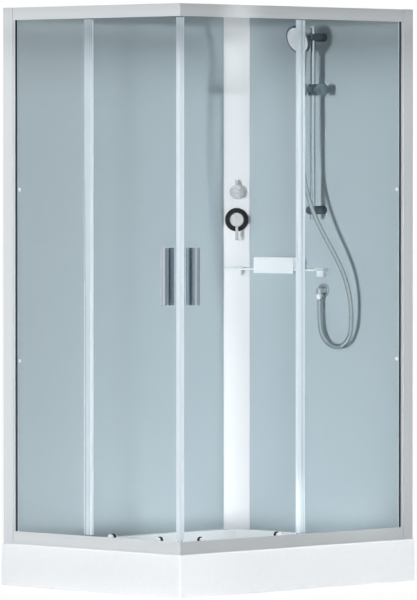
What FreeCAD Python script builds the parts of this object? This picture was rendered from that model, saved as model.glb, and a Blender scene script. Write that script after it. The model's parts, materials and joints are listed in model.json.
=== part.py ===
"""Corner-entry shower cabin with two sliding doors, a corner column and a hand shower on a rail.

Millimetres. +Z is up, X is the long side and Y the short side. The origin is the middle of the
footprint at floor level. The front corner is at -X -Y, the walls of the room are at +X and +Y.
"""
import math
import os

import FreeCAD
import Part

V = FreeCAD.Vector

# Overall sizes
TRAY_LENGTH = 1200.0
TRAY_WIDTH = 900.0
TRAY_HEIGHT = 150.0
CABIN_HEIGHT = 2060.0

# Tray
TRAY_SHELL = 6.0
TRAY_DRAFT = 3.0
TRAY_EDGE_RADIUS = 7.0
TRAY_CORNER_RADIUS = 5.0
FRAME_INSET = 10.0
RIM_FRONT = 62.0
RIM_BACK = 58.0
BASIN_FLOOR_Z = 65.0
BASIN_DRAFT = 30.0
BASIN_RADIUS = 70.0
PIPE_CUTOUT_WIDTH = 90.0
PIPE_CUTOUT_HEIGHT = 75.0

# Tray support and feet
SUPPORT_TUBE = 30.0
SUPPORT_WALL = 2.0
SUPPORT_SPAN_X = 960.0
SUPPORT_SPACING_Y = 480.0
SUPPORT_CROSS_X = (-320.0, 180.0)
FOOT_X = (-440.0, -60.0, 440.0)
FOOT_PAD_RADIUS = 22.0
FOOT_PAD_HEIGHT = 8.0
FOOT_ROD_RADIUS = 5.0
FOOT_NUT_RADIUS = 9.0
FOOT_NUT_HEIGHT = 8.0

# Drain
DRAIN_FROM_END = 220.0
DRAIN_HOLE_RADIUS = 43.0
DRAIN_FLANGE_RADIUS = 56.0
DRAIN_FLANGE_THICK = 2.0
DRAIN_THROAT_RADIUS = 34.0
TRAP_RADIUS = 52.0
TRAP_BOTTOM_Z = 10.0
TRAP_WALL = 3.0
OUTLET_RADIUS = 20.0
OUTLET_WALL = 2.0
OUTLET_Z = 33.0
OUTLET_END_INSET = 3.0
OUTLET_SPIGOT = 40.0
OUTLET_COLLAR_RADIUS = 22.0
OUTLET_COLLAR_WIDTH = 6.0
COVER_RADIUS = 54.0
COVER_RISE = 7.0
COVER_LIFT = 3.0
COVER_FOOT_RADIUS = 3.0

# Aluminium frame sections; depth runs inwards from the outer face
RAIL_HEIGHT = 45.0
RAIL_DEPTH = 44.0
RAIL_WALL = 2.0
RAIL_WEB = 2.5
RAIL_EDGE_RADIUS = 1.8
RAIL_JOINT_GAP = 1.2
GLASS = 6.0
FIXED_GLASS_DEPTH = 7.0
GLAZING_WEB_DEPTH = 14.5
GLAZING_WEB_THICK = 1.8
GLAZING_WEB_HEIGHT = 24.0
DOOR_GLASS_DEPTH = 22.0
TRACK_DEPTH = 35.0
TRACK_THICK = 3.0
TRACK_DROP = 11.0
TOP_TRACK_Z_BELOW_TOP = 35.0
TOP_TRACK_LIP = 8.0
PROFILE_FACE = 48.0
PROFILE_DEPTH = 40.0
PROFILE_WALL = 2.0
PROFILE_LIP = 10.0
PROFILE_LIP_DEPTH = 3.0
PROFILE_LIP_THICK = 2.5
GLASS_POCKET = 17.0
POCKET_JAW = 8.0
GASKET_THICK = 1.5
GASKET_SHOW = 8.0
PANEL_GROOVE = 12.0
PANEL_FLANGE = 36.0
PROFILE_HOLE_RADIUS = 3.0
PROFILE_HOLE_Z = (600.0, 1600.0)
BRACKET_LEG = 70.0
BRACKET_HEIGHT = 20.0
BRACKET_THICK = 10.0

# Back walls and column
PANEL_THICK = 5.0
PANEL_INSET = 22.0
PANEL_TOP_GAP = 10.0
PANEL_FIT = 0.2
CAP_RADIUS = 7.0
CAP_HEIGHT = 4.0
CAP_FROM_FACE = 60.0
CAP_Z = (800.0, 1412.0)
COLUMN_WIDTH = 97.0
COLUMN_WALL = 3.0
COLUMN_GRIP = 11.0
COLUMN_GRIP_WALL = 2.0

# Doors
DOOR_OVERLAP = 50.0
DOOR_BOTTOM_LIFT = 22.0
DOOR_TOP_GAP = 10.0
SEAL_WALL = 1.4
SEAL_LEG = 7.0
TRAIL_SEAL_LEG = 26.0
SEAL_END_GAP = 3.0
MAGNET_WIDTH = 8.0
MEETING_GAP = 0.2
EDGE_STRIP_LEG = 8.0
EDGE_FIN_REACH = 5.0
EDGE_FIN_THICK = 1.2
EDGE_FIN_END = 17.0
STOP_LENGTH = 14.0
STOP_WIDTH = 12.0
STOP_HEIGHT = 20.0
STOP_GAP = 0.5

# Rollers
WHEEL_RADIUS = 12.5
WHEEL_GROOVE_RADIUS = 9.5
WHEEL_WIDTH = 8.0
WHEEL_GROOVE_WIDTH = 4.0
AXLE_RADIUS = 3.0
AXLE_CLEARANCE = 0.05
RUNNING_GAP = 0.3
ROLLER_FROM_LEAD = 108.0
ROLLER_FROM_TRAIL = 128.0
ROLLER_CAP_RADIUS = 11.0
ROLLER_CAP_THICK = 4.2
ROLLER_SHANK_RADIUS = 5.0
ROLLER_WASHER_RADIUS = 9.0
ROLLER_HEAD_RADIUS = 4.5
GLASS_HOLE_CLEARANCE = 0.3

# Door handles
HANDLE_LENGTH = 200.0
HANDLE_WIDTH = 20.0
HANDLE_DEPTH = 22.0
HANDLE_PLATE = 2.5
HANDLE_BASE = 7.0
HANDLE_NECK = 9.0
HANDLE_EDGE_RADIUS = 1.0
HANDLE_BOLT_SPACING = 144.0
HANDLE_BOLT_RADIUS = 3.0
HANDLE_FROM_CORNER = 62.0
HANDLE_Z = 1113.0

# Valves on the column
MIXER_Z = 1297.0
DIVERTER_Z = 1399.0
VALVE_DEPTH = 28.0
VALVE_RADIUS = 17.0
VALVE_END = 26.0
INLET_SPACING = 44.0
INLET_DEPTH = 20.0
INLET_DROP = 14.5
INLET_ARM_RADIUS = 9.0
INLET_NECK_RADIUS = 7.5
INLET_BOSS_RADIUS = 13.0
INLET_SHOULDER = 31.0
INLET_THREAD_RADIUS = 10.4
INLET_THREAD_LENGTH = 15.0
OUTLET_THREAD_RADIUS = 9.3
OUTLET_THREAD_DEPTH = 14.0
MIXER_SNOUT_RADIUS = 18.0
MIXER_SNOUT_REACH = 4.0
SNOUT_CLEARANCE = 0.5
ROSETTE_RADIUS = 43.5
ROSETTE_BORE = 26.0
ROSETTE_THICK = 5.0
STEM_RADIUS = 14.0
STEM_LENGTH = 16.0
STEM_SPIGOT_RADIUS = 8.0
STEM_SPIGOT_LENGTH = 12.0
PIVOT_FROM_FACE = 18.0
PIVOT_PIN_RADIUS = 2.5
PIVOT_CLEARANCE = 0.05
TURN_CLEARANCE = 0.3
MIXER_CUP_RADIUS = 25.0
MIXER_CUP_WALL = 3.0
MIXER_CUP_BACK = 14.0
MIXER_CUP_FRONT = 38.0
LEVER_RADIUS = 5.5
LEVER_REACH = 76.0
DIVERTER_KNOB_RADIUS = 26.0
DIVERTER_KNOB_BACK = 1.0
DIVERTER_KNOB_FRONT = 26.0
DIVERTER_SPINDLE_RADIUS = 6.0
DIVERTER_SPINDLE_REACH = 16.0
DIVERTER_PIN_REACH = 45.0
DIVERTER_DOME_RADIUS = 45.0

# Hand shower rail on the short back wall
RAIL_TUBE_RADIUS = 10.0
RAIL_TUBE_WALL = 1.2
RAIL_STANDOFF = 62.0
SHOWER_Y = -20.0
RAIL_TUBE_BOTTOM = 1302.0
RAIL_TUBE_TOP = 2004.0
RAIL_BRACKET_Z = (1335.0, 1965.0)
RAIL_BRACKET_RADIUS = 15.0
RAIL_BRACKET_NOSE = 22.0
RAIL_BRACKET_EDGE = 3.0
SLIDER_Z = 1774.0
SLIDER_HEIGHT = 42.0
SLIDER_RADIUS = 17.0
SLIDER_CLEARANCE = 0.1
SLIDER_NECK_RADIUS = 11.0
SLIDER_NECK_END = 30.0
SLIDER_EAR_GAP = 12.6
SLIDER_EAR_THICK = 5.0
SLIDER_EAR_RADIUS = 10.0
TILT_PIVOT_REACH = 29.0
TILT_PIN_RADIUS = 3.0
HOLDER_REACH = 59.0
HOLDER_RADIUS = 20.0
HOLDER_HEIGHT = 42.0
HOLDER_TONGUE = 12.0
HOLDER_SLOT = 17.0
KNOB_RADIUS = 20.0
KNOB_FLUTE_RADIUS = 3.0
KNOB_FLUTES = 10
KNOB_START = 30.3
KNOB_END = 62.0
KNOB_SPIGOT_RADIUS = 6.0
KNOB_SPIGOT_LENGTH = 10.0
KNOB_SPIGOT_CLEARANCE = 0.05

# Hand shower
HANDSET_LEAN = 3.0
HANDSET_SEAT_TOP_RADIUS = 12.6
HANDSET_SEAT_BOTTOM_RADIUS = 10.6
HANDSET_SEAT_GAP = 0.3
HANDSET_TAIL = 62.0
HANDSET_NECK_Z = 112.0
HANDSET_NECK_RADIUS = 12.8
HEAD_CENTRE_Z = 178.0
HEAD_FORWARD = 31.0
HEAD_TILT = 25.0
HEAD_RADIUS = 54.0
HEAD_EDGE = 9.0
HEAD_DEPTH = 26.0
FACE_RADIUS = 48.0
FACE_THICK = 3.0
FACE_PROUD = 1.0
HOSE_NUT_RADIUS = 11.0
HOSE_NUT_LENGTH = 33.0

# Hose, from the nut under the hand shower to the nut under the wall elbow
HOSE_DIAMETER = 16.0
HOSE_ARC_SHARE = 0.45
HOSE_LEAD = 48.0
HOSE_NUT_GAP = 0.3
HOSE_ROUTE = (
    (450.5, -21.0, 1560.0),
    (455.5, -25.5, 1490.0),
    (461.5, -36.0, 1420.0),
    (468.0, -57.0, 1350.0),
    (477.0, -88.0, 1280.0),
    (486.0, -127.0, 1217.0),
    (496.0, -162.0, 1157.0),
    (507.0, -188.0, 1098.0),
    (518.0, -201.5, 1035.0),
    (527.0, -203.0, 978.0),
    (535.0, -196.0, 922.0),
    (540.0, -184.2, 878.0),
    (544.0, -152.0, 845.8),
    (547.5, -108.0, 834.0),
    (550.5, -64.0, 845.8),
    (552.5, -31.8, 878.0),
    (553.0, -21.2, 922.0),
)

# Wall elbow
ELBOW_Z = 1042.0
ELBOW_REACH = 25.0
ELBOW_FLANGE_RADIUS = 25.5
ELBOW_FLANGE_THICK = 8.0
ELBOW_PIPE_RADIUS = 12.5
ELBOW_NUT_TOP = 1027.0
ELBOW_NUT_LENGTH = 18.0
ELBOW_NUT_RADIUS = 11.0
ELBOW_THREAD_RADIUS = 10.4
ELBOW_THREAD_LENGTH = 15.0
ELBOW_SHANK_RADIUS = 11.0
ELBOW_HOLE_CLEARANCE = 0.3

# Shelf beside the column
SHELF_TOP = 1119.0
SHELF_THICK = 6.0
SHELF_FRONT_REACH = 72.0
SHELF_BACK_GAP = 4.5
SHELF_END_Y = -39.0
SHELF_WALL_GAP = 2.0
SHELF_CLIP_Y = -14.0
CLIP_BLOCK_WIDTH = 32.0
CLIP_BLOCK_DEPTH = 18.0
CLIP_BLOCK_HEIGHT = 22.0
CLIP_JAW_WIDTH = 46.0
CLIP_JAW_DEPTH = 24.0
CLIP_JAW_THICK = 4.0
CLIP_BACK_THICK = 4.0
BIN_CENTRE_Y = 168.0
BIN_LENGTH = 200.0
BIN_DEPTH = 62.0
BIN_HEIGHT = 41.0
BIN_WALL = 2.5
BIN_FASCIA_DROP = 17.0
BIN_FRONT_GAP = 0.3

# Derived places
DRAIN_X = TRAY_LENGTH / 2 - DRAIN_FROM_END
FRAME_X = -TRAY_LENGTH / 2 + FRAME_INSET
FRAME_Y = -TRAY_WIDTH / 2 + FRAME_INSET
FACE_LENGTH = {"left": TRAY_WIDTH / 2 - FRAME_Y, "right": TRAY_LENGTH / 2 - FRAME_X}
WALL_X = TRAY_LENGTH / 2 - PANEL_INSET
WALL_Y = TRAY_WIDTH / 2 - PANEL_INSET
DOOR_MID = DOOR_GLASS_DEPTH + GLASS / 2
DOOR_BACK = DOOR_GLASS_DEPTH + GLASS
FIXED_BACK = FIXED_GLASS_DEPTH + GLASS
RAIL_TOP_Z = TRAY_HEIGHT + RAIL_HEIGHT
TOP_RAIL_Z = CABIN_HEIGHT - RAIL_HEIGHT
LOW_TRACK_Z = RAIL_TOP_Z - TRACK_DROP
TOP_TRACK_Z = CABIN_HEIGHT - TOP_TRACK_Z_BELOW_TOP
LOW_WHEEL_Z = LOW_TRACK_Z + WHEEL_GROOVE_RADIUS + RUNNING_GAP
TOP_WHEEL_Z = TOP_TRACK_Z + WHEEL_GROOVE_RADIUS + RUNNING_GAP
DOOR_LOW_Z = TRAY_HEIGHT + DOOR_BOTTOM_LIFT
DOOR_TOP_Z = CABIN_HEIGHT - DOOR_TOP_GAP
PANEL_TOP_Z = CABIN_HEIGHT - PANEL_TOP_GAP
TUBE_X = WALL_X - RAIL_STANDOFF
COLUMN_HALF = COLUMN_WIDTH / 2
COLUMN_EDGE = COLUMN_WIDTH / math.sqrt(2)
COLUMN_FACE = V(WALL_X - COLUMN_EDGE / 2, WALL_Y - COLUMN_EDGE / 2, 0)
SHELF_LOW = SHELF_TOP - SHELF_THICK
SHELF_FRONT_X = WALL_X - SHELF_FRONT_REACH

NODES = {}


def polygon_prism(points, direction):
    """Solid swept along a direction from a flat outline of corner points."""
    outline = Part.makePolygon(points + points[:1])
    return Part.Face(outline).extrude(direction)


def fused(shapes):
    """One solid from touching or overlapping shapes."""
    first = shapes[0]
    if len(shapes) > 1:
        first = first.fuse(shapes[1:])
    return first.removeSplitter()


def block(low, high):
    """Box between two opposite corners."""
    size = [high[i] - low[i] for i in range(3)]
    return Part.makeBox(size[0], size[1], size[2], V(*low))


def rod(start, end, radius):
    """Round bar between two points."""
    axis = end - start
    return Part.makeCylinder(radius, axis.Length, start, axis)


def turned(outline, origin, axis):
    """Solid of revolution: outline holds (radius, distance along the axis) corners."""
    points = [V(radius, 0, along) for radius, along in outline]
    face = Part.Face(Part.makePolygon(points + points[:1]))
    solid = face.revolve(V(0, 0, 0), V(0, 0, 1), 360)
    turn = FreeCAD.Rotation(V(0, 0, 1), axis)
    solid.Placement = FreeCAD.Placement(origin, turn)
    return solid


def rounded(shape, radius, wanted):
    """Fillet the edges whose middle point passes a test."""
    edges = []
    for edge in shape.Edges:
        middle = edge.valueAt((edge.FirstParameter + edge.LastParameter) / 2)
        if wanted(edge, middle):
            edges.append(edge)
    return shape.makeFillet(radius, edges)


def near(a, b):
    """True when two sizes agree to a hundredth of a millimetre."""
    return abs(a - b) < 0.01


def at(side, along, depth, z):
    """Point on a glazed face: along it from the front corner, and inwards from its outer skin."""
    if side == "left":
        return V(FRAME_X + depth, FRAME_Y + along, z)
    return V(FRAME_X + along, FRAME_Y + depth, z)


def inward(side):
    """Unit vector from the outside of a glazed face to the cabin's inside."""
    return V(1, 0, 0) if side == "left" else V(0, 1, 0)


def along_face(side):
    """Unit vector along a glazed face, away from the front corner."""
    return V(0, 1, 0) if side == "left" else V(1, 0, 0)


def face_block(side, along, depth, z):
    """Box on a glazed face from three (low, high) pairs."""
    a = at(side, along[0], depth[0], z[0])
    b = at(side, along[1], depth[1], z[1])
    return block((a.x, a.y, a.z), (b.x, b.y, b.z))


def face_prism(side, outline, z):
    """Upright prism on a glazed face from (along, depth) corners."""
    points = [at(side, along, depth, z[0]) for along, depth in outline]
    return polygon_prism(points, V(0, 0, z[1] - z[0]))


def face_turned(side, outline, along, z):
    """Solid of revolution whose axis runs inwards through a glazed face."""
    return turned(outline, at(side, along, 0, z), inward(side))


def on_column(shape):
    """Move a shape built on the plane y = 0, facing -Y, onto the column's front."""
    shape = shape.copy()
    turn = FreeCAD.Rotation(V(0, 0, 1), -45)
    shape.Placement = FreeCAD.Placement(COLUMN_FACE, turn).multiply(shape.Placement)
    return shape


def add(name, shape):
    """Keep a finished node."""
    NODES[name] = shape


# Tray, its support and the drain

def rounded_rectangle(low, high, radius, z):
    """Closed wire of a rectangle with round corners."""
    centres = (
        (high[0] - radius, high[1] - radius, 0),
        (low[0] + radius, high[1] - radius, 90),
        (low[0] + radius, low[1] + radius, 180),
        (high[0] - radius, low[1] + radius, 270),
    )
    arcs = []
    for x, y, start in centres:
        circle = Part.Circle(V(x, y, z), V(0, 0, 1), radius)
        arcs.append(Part.Arc(circle, math.radians(start), math.radians(start + 90)))
    edges = []
    for index, arc in enumerate(arcs):
        following = arcs[(index + 1) % len(arcs)]
        edges.append(arc.toShape())
        edges.append(Part.LineSegment(arc.EndPoint, following.StartPoint).toShape())
    return Part.Wire(edges)


def basin(grow):
    """Tapered basin space, made larger all round by the wall when grow is set."""
    low = (-TRAY_LENGTH / 2 + RIM_FRONT, -TRAY_WIDTH / 2 + RIM_FRONT)
    high = (TRAY_LENGTH / 2 - RIM_BACK, TRAY_WIDTH / 2 - RIM_BACK)
    wires = []
    for inset, z in ((BASIN_DRAFT, BASIN_FLOOR_Z - grow), (0.0, TRAY_HEIGHT)):
        corner_low = [value + inset - grow for value in low]
        corner_high = [value - inset + grow for value in high]
        wires.append(rounded_rectangle(corner_low, corner_high, BASIN_RADIUS - inset / 2 + grow, z))
    return Part.makeLoft(wires, True, True)


def make_tray():
    """One-piece acrylic tray: drafted skirt, rim, basin and an open underside."""
    half_x = TRAY_LENGTH / 2
    half_y = TRAY_WIDTH / 2
    wires = []
    for draft, z in ((0.0, 0.0), (TRAY_DRAFT, TRAY_HEIGHT)):
        corners = [V(-half_x + draft, -half_y + draft, z), V(half_x, -half_y + draft, z),
                   V(half_x, half_y, z), V(-half_x + draft, half_y, z)]
        wires.append(Part.makePolygon(corners + corners[:1]))
    skirt = Part.makeLoft(wires, True, True)
    front_corner = V(-half_x, -half_y, TRAY_HEIGHT / 2)
    skirt = rounded(skirt, TRAY_CORNER_RADIUS,
                    lambda edge, mid: (mid - front_corner).Length < 2 * TRAY_DRAFT + 1)

    def on_front_rim(edge, mid):
        low_x = mid.x < -half_x + TRAY_DRAFT + TRAY_CORNER_RADIUS
        low_y = mid.y < -half_y + TRAY_DRAFT + TRAY_CORNER_RADIUS
        return near(mid.z, TRAY_HEIGHT) and (low_x or low_y)

    skirt = rounded(skirt, TRAY_EDGE_RADIUS, on_front_rim)
    wall = TRAY_SHELL + TRAY_DRAFT
    hollow = block((-half_x + wall, -half_y + wall, -1),
                   (half_x - TRAY_SHELL, half_y - TRAY_SHELL, TRAY_HEIGHT - TRAY_SHELL))
    tray = skirt.cut(basin(0.0)).cut(hollow.cut(basin(TRAY_SHELL)))
    drain = rod(V(DRAIN_X, 0, 0), V(DRAIN_X, 0, TRAY_HEIGHT), DRAIN_HOLE_RADIUS)
    cutout = block((half_x - 2 * TRAY_SHELL, -PIPE_CUTOUT_WIDTH / 2, -1),
                   (half_x + 1, PIPE_CUTOUT_WIDTH / 2, PIPE_CUTOUT_HEIGHT))
    add("shower_tray", tray.cut(drain).cut(cutout))


def make_support():
    """Welded square-tube frame under the basin, and its screw feet."""
    top = BASIN_FLOOR_Z - TRAY_SHELL
    low = top - SUPPORT_TUBE
    half = SUPPORT_TUBE / 2
    span = SUPPORT_SPAN_X / 2
    rows = (-SUPPORT_SPACING_Y / 2, SUPPORT_SPACING_Y / 2)
    outer = []
    inner = []
    bore = half - SUPPORT_WALL
    for y in rows:
        outer.append(block((-span, y - half, low), (span, y + half, top)))
        inner.append(block((-span - 1, y - bore, low + SUPPORT_WALL),
                           (span + 1, y + bore, top - SUPPORT_WALL)))
    for x in SUPPORT_CROSS_X:
        outer.append(block((x - half, rows[0], low), (x + half, rows[1], top)))
    add("tray_support_frame", fused(outer).cut(fused(inner)))
    feet = []
    outline = ((0, 0), (FOOT_PAD_RADIUS, 0), (FOOT_PAD_RADIUS, FOOT_PAD_HEIGHT / 2),
               (FOOT_NUT_RADIUS, FOOT_PAD_HEIGHT), (FOOT_ROD_RADIUS, FOOT_PAD_HEIGHT),
               (FOOT_ROD_RADIUS, low - FOOT_NUT_HEIGHT), (FOOT_NUT_RADIUS, low - FOOT_NUT_HEIGHT),
               (FOOT_NUT_RADIUS, low), (0, low))
    for x in FOOT_X:
        for y in rows:
            feet.append(turned(outline, V(x, y, 0), V(0, 0, 1)))
    add("adjustable_feet", Part.makeCompound(feet))


def make_drain():
    """Low trap clamped through the basin floor, with its waste pipe and lift-out cover."""
    under = BASIN_FLOOR_Z - TRAY_SHELL
    lip = BASIN_FLOOR_Z + DRAIN_FLANGE_THICK
    neck = DRAIN_HOLE_RADIUS - GLASS_HOLE_CLEARANCE
    trap_floor = TRAP_BOTTOM_Z + TRAP_WALL
    outline = ((0, TRAP_BOTTOM_Z), (TRAP_RADIUS, TRAP_BOTTOM_Z), (TRAP_RADIUS, under), (neck, under),
               (neck, BASIN_FLOOR_Z), (DRAIN_FLANGE_RADIUS, BASIN_FLOOR_Z),
               (DRAIN_FLANGE_RADIUS, lip), (DRAIN_THROAT_RADIUS, lip),
               (DRAIN_THROAT_RADIUS, under - TRAP_WALL), (TRAP_RADIUS - TRAP_WALL, under - TRAP_WALL),
               (TRAP_RADIUS - TRAP_WALL, trap_floor), (0, trap_floor))
    body = turned(outline, V(DRAIN_X, 0, 0), V(0, 0, 1))
    start = V(DRAIN_X + TRAP_RADIUS - 2 * TRAP_WALL, 0, OUTLET_Z)
    end = V(TRAY_LENGTH / 2 - OUTLET_END_INSET, 0, OUTLET_Z)
    inside = rod(V(DRAIN_X, 0, 0), V(DRAIN_X, 0, BASIN_FLOOR_Z), TRAP_RADIUS - TRAP_WALL / 2)
    pipe = rod(start, end, OUTLET_RADIUS).cut(inside)
    bore = rod(start - V(TRAP_WALL, 0, 0), end + V(1, 0, 0), OUTLET_RADIUS - OUTLET_WALL)
    shoulder = end - V(OUTLET_SPIGOT, 0, 0)
    collar = rod(shoulder - V(OUTLET_COLLAR_WIDTH, 0, 0), shoulder, OUTLET_COLLAR_RADIUS)
    add("drain_trap", fused([body, pipe, collar]).cut(bore))
    dome_low = lip + COVER_LIFT
    ball = (COVER_RADIUS ** 2 + COVER_RISE ** 2) / (2 * COVER_RISE)
    dome = Part.makeSphere(ball, V(DRAIN_X, 0, dome_low + COVER_RISE - ball))
    dome = dome.common(rod(V(DRAIN_X, 0, dome_low), V(DRAIN_X, 0, dome_low + COVER_RISE + 1), COVER_RADIUS))
    feet = []
    for quarter in range(4):
        angle = math.radians(90 * quarter + 45)
        spread = (DRAIN_THROAT_RADIUS + DRAIN_FLANGE_RADIUS) / 2
        foot = V(DRAIN_X + spread * math.cos(angle), spread * math.sin(angle), lip)
        feet.append(rod(foot, foot + V(0, 0, COVER_LIFT), COVER_FOOT_RADIUS))
    add("drain_cover", fused([dome] + feet))


# Aluminium frame and fixed glass

def rail_strip(side, depth, z, short=0.0):
    """Long strip of a rail, mitred at the front corner and square at the wall profile."""
    end = FACE_LENGTH[side] - PROFILE_FACE - short
    outline = ((depth[0], depth[0]), (end, depth[0]), (end, depth[1]), (depth[1], depth[1]))
    return face_prism(side, outline, z)


def make_rails(side):
    """Extruded top and bottom rails with a glazing channel and a roller track."""
    web = (GLAZING_WEB_DEPTH, GLAZING_WEB_DEPTH + GLAZING_WEB_THICK)
    track = (TRACK_DEPTH - TRACK_THICK / 2, TRACK_DEPTH + TRACK_THICK / 2)
    floor = TRAY_HEIGHT + RAIL_WEB
    add("bottom_rail_" + side, fused([
        rail_strip(side, (0, RAIL_WALL), (TRAY_HEIGHT, RAIL_TOP_Z), RAIL_JOINT_GAP),
        rail_strip(side, (RAIL_WALL, RAIL_DEPTH), (TRAY_HEIGHT, floor)),
        rail_strip(side, web, (TRAY_HEIGHT, floor + GLAZING_WEB_HEIGHT)),
        rail_strip(side, track, (TRAY_HEIGHT, LOW_TRACK_Z)),
    ]))
    roof = CABIN_HEIGHT - RAIL_WEB
    lip = TOP_TRACK_Z - TOP_TRACK_LIP
    top_rail = fused([
        rail_strip(side, (0, RAIL_WALL), (TOP_RAIL_Z, CABIN_HEIGHT), RAIL_JOINT_GAP),
        rail_strip(side, (RAIL_WALL, RAIL_DEPTH), (roof, CABIN_HEIGHT)),
        rail_strip(side, web, (roof - GLAZING_WEB_HEIGHT, CABIN_HEIGHT)),
        rail_strip(side, (RAIL_DEPTH - RAIL_WALL, RAIL_DEPTH), (lip, CABIN_HEIGHT)),
        rail_strip(side, (track[0], RAIL_DEPTH), (lip, lip + RAIL_WEB)),
        rail_strip(side, track, (lip, TOP_TRACK_Z)),
    ])

    def on_top_edge(edge, mid):
        outside = near((mid - at(side, 0, 0, 0)).dot(inward(side)), 0)
        return outside and near(mid.z, CABIN_HEIGHT)

    add("top_rail_" + side, rounded(top_rail, RAIL_EDGE_RADIUS, on_top_edge))


def make_wall_profile(side):
    """Upright hollow profile at the wall: glass pocket, bead lip and the back wall's groove."""
    end = FACE_LENGTH[side]

    def strip(from_wall, depth):
        return face_block(side, (end - from_wall[1], end - from_wall[0]), depth,
                          (TRAY_HEIGHT, CABIN_HEIGHT))

    front = (PROFILE_FACE - PROFILE_WALL, PROFILE_FACE)
    stop = PROFILE_FACE - GLASS_POCKET
    jaw = FIXED_BACK + POCKET_JAW
    fit = PANEL_FIT
    panel_back = PANEL_INSET - PANEL_THICK - fit
    panel_front = PANEL_INSET + fit
    profile = fused([
        strip((0, PROFILE_FACE), (0, PROFILE_WALL)),
        strip((0, PROFILE_WALL), (0, PROFILE_DEPTH)),
        strip((0, stop), (PROFILE_DEPTH - PROFILE_WALL, PROFILE_DEPTH)),
        strip(front, (0, FIXED_GLASS_DEPTH - fit)),
        strip(front, (FIXED_BACK + fit, jaw)),
        strip((stop - PROFILE_WALL, PROFILE_FACE), (jaw - PROFILE_WALL, jaw)),
        strip((stop - PROFILE_WALL, stop), (0, PROFILE_DEPTH)),
        strip((front[0], PROFILE_FACE + PROFILE_LIP),
              (PROFILE_LIP_DEPTH, PROFILE_LIP_DEPTH + PROFILE_LIP_THICK)),
        strip((panel_front, panel_front + PROFILE_WALL), (PROFILE_DEPTH, PROFILE_DEPTH + PANEL_GROOVE)),
        strip((panel_back - PROFILE_WALL, panel_back), (PROFILE_DEPTH, PROFILE_DEPTH + PANEL_FLANGE)),
    ])
    for z in ((TRAY_HEIGHT, RAIL_TOP_Z), (TOP_RAIL_Z, CABIN_HEIGHT)):
        profile = profile.cut(face_block(side, (end - PROFILE_FACE - PROFILE_LIP - 1, end - PROFILE_FACE),
                                         (0, PROFILE_DEPTH), z))
    middle = (PROFILE_DEPTH + FIXED_BACK) / 2
    for z in PROFILE_HOLE_Z:
        start = at(side, end - PROFILE_WALL - 1, middle, z)
        finish = at(side, end + 1, middle, z)
        profile = profile.cut(rod(start, finish, PROFILE_HOLE_RADIUS))
    add("wall_profile_" + side, profile)


def make_fixed_panel(side):
    """Fixed pane from the wall profile's pocket to the middle of the face."""
    end = FACE_LENGTH[side]
    depth = (FIXED_GLASS_DEPTH, FIXED_BACK)
    z = (TRAY_HEIGHT + RAIL_WEB, CABIN_HEIGHT - RAIL_WEB)
    add("fixed_panel_" + side, face_block(side, (end / 2, end - PROFILE_FACE + GLASS_POCKET), depth, z))


def edge_strip(side):
    """Clear channel on the fixed pane's free edge, with a fin towards the door."""
    edge = FACE_LENGTH[side] / 2
    z = (RAIL_TOP_Z + SEAL_END_GAP, TOP_RAIL_Z - SEAL_END_GAP)
    legs = (FIXED_GLASS_DEPTH - SEAL_WALL, FIXED_BACK + SEAL_WALL)
    outline = ((edge - SEAL_WALL, legs[0]), (edge + EDGE_STRIP_LEG, legs[0]),
               (edge + EDGE_STRIP_LEG, FIXED_GLASS_DEPTH), (edge, FIXED_GLASS_DEPTH),
               (edge, FIXED_BACK), (edge + EDGE_STRIP_LEG, FIXED_BACK),
               (edge + EDGE_STRIP_LEG, legs[1]), (edge - SEAL_WALL, legs[1]))
    channel = face_prism(side, outline, z)
    tip = edge + EDGE_STRIP_LEG
    fin = face_block(side, (tip - EDGE_FIN_THICK, tip), (legs[1], legs[1] + EDGE_FIN_REACH),
                     (z[0] + EDGE_FIN_END, z[1] - EDGE_FIN_END))
    return fused([channel, fin])


def gasket(side):
    """Dark glazing strip between the profile's lip and the fixed pane."""
    end = FACE_LENGTH[side] - PROFILE_FACE
    depth = (FIXED_GLASS_DEPTH - GASKET_THICK, FIXED_GLASS_DEPTH)
    return face_block(side, (end - PROFILE_LIP - GASKET_SHOW, end), depth, (RAIL_TOP_Z, TOP_RAIL_Z))


def corner_bracket(z):
    """Angle piece inside the glazing channels that ties two mitred rails together."""
    depth = (RAIL_WALL + 1, RAIL_WALL + 1 + BRACKET_THICK)
    legs = [face_block(side, (depth[0], BRACKET_LEG), depth, (z, z + BRACKET_HEIGHT))
            for side in FACE_LENGTH]
    return fused(legs)


def door_stop(side):
    """Rubber stop inside the top rail, on the wall profile."""
    end = FACE_LENGTH[side] - PROFILE_FACE
    depth = (DOOR_MID - STOP_WIDTH / 2, DOOR_MID + STOP_WIDTH / 2)
    low = TOP_WHEEL_Z - STOP_HEIGHT / 2
    return face_block(side, (end - STOP_LENGTH, end), depth, (low, low + STOP_HEIGHT))


def make_frame():
    """Everything of the aluminium frame that stands still."""
    for side in FACE_LENGTH:
        make_rails(side)
        make_wall_profile(side)
        make_fixed_panel(side)
    add("fixed_edge_strips", Part.makeCompound([edge_strip(side) for side in FACE_LENGTH]))
    add("glazing_gaskets", Part.makeCompound([gasket(side) for side in FACE_LENGTH]))
    levels = (TRAY_HEIGHT + RAIL_WEB, CABIN_HEIGHT - RAIL_WEB - BRACKET_HEIGHT)
    add("rail_corner_brackets", Part.makeCompound([corner_bracket(z) for z in levels]))
    add("door_stops", Part.makeCompound([door_stop(side) for side in FACE_LENGTH]))


# Back walls and column

def wall_span(side):
    """Start and end of a back wall, as depths inwards from its glazed face."""
    reach = WALL_X - FRAME_X if side == "left" else WALL_Y - FRAME_Y
    start = PROFILE_DEPTH + PANEL_FIT
    return start, reach - COLUMN_EDGE + COLUMN_GRIP - COLUMN_GRIP_WALL - PANEL_FIT


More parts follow.
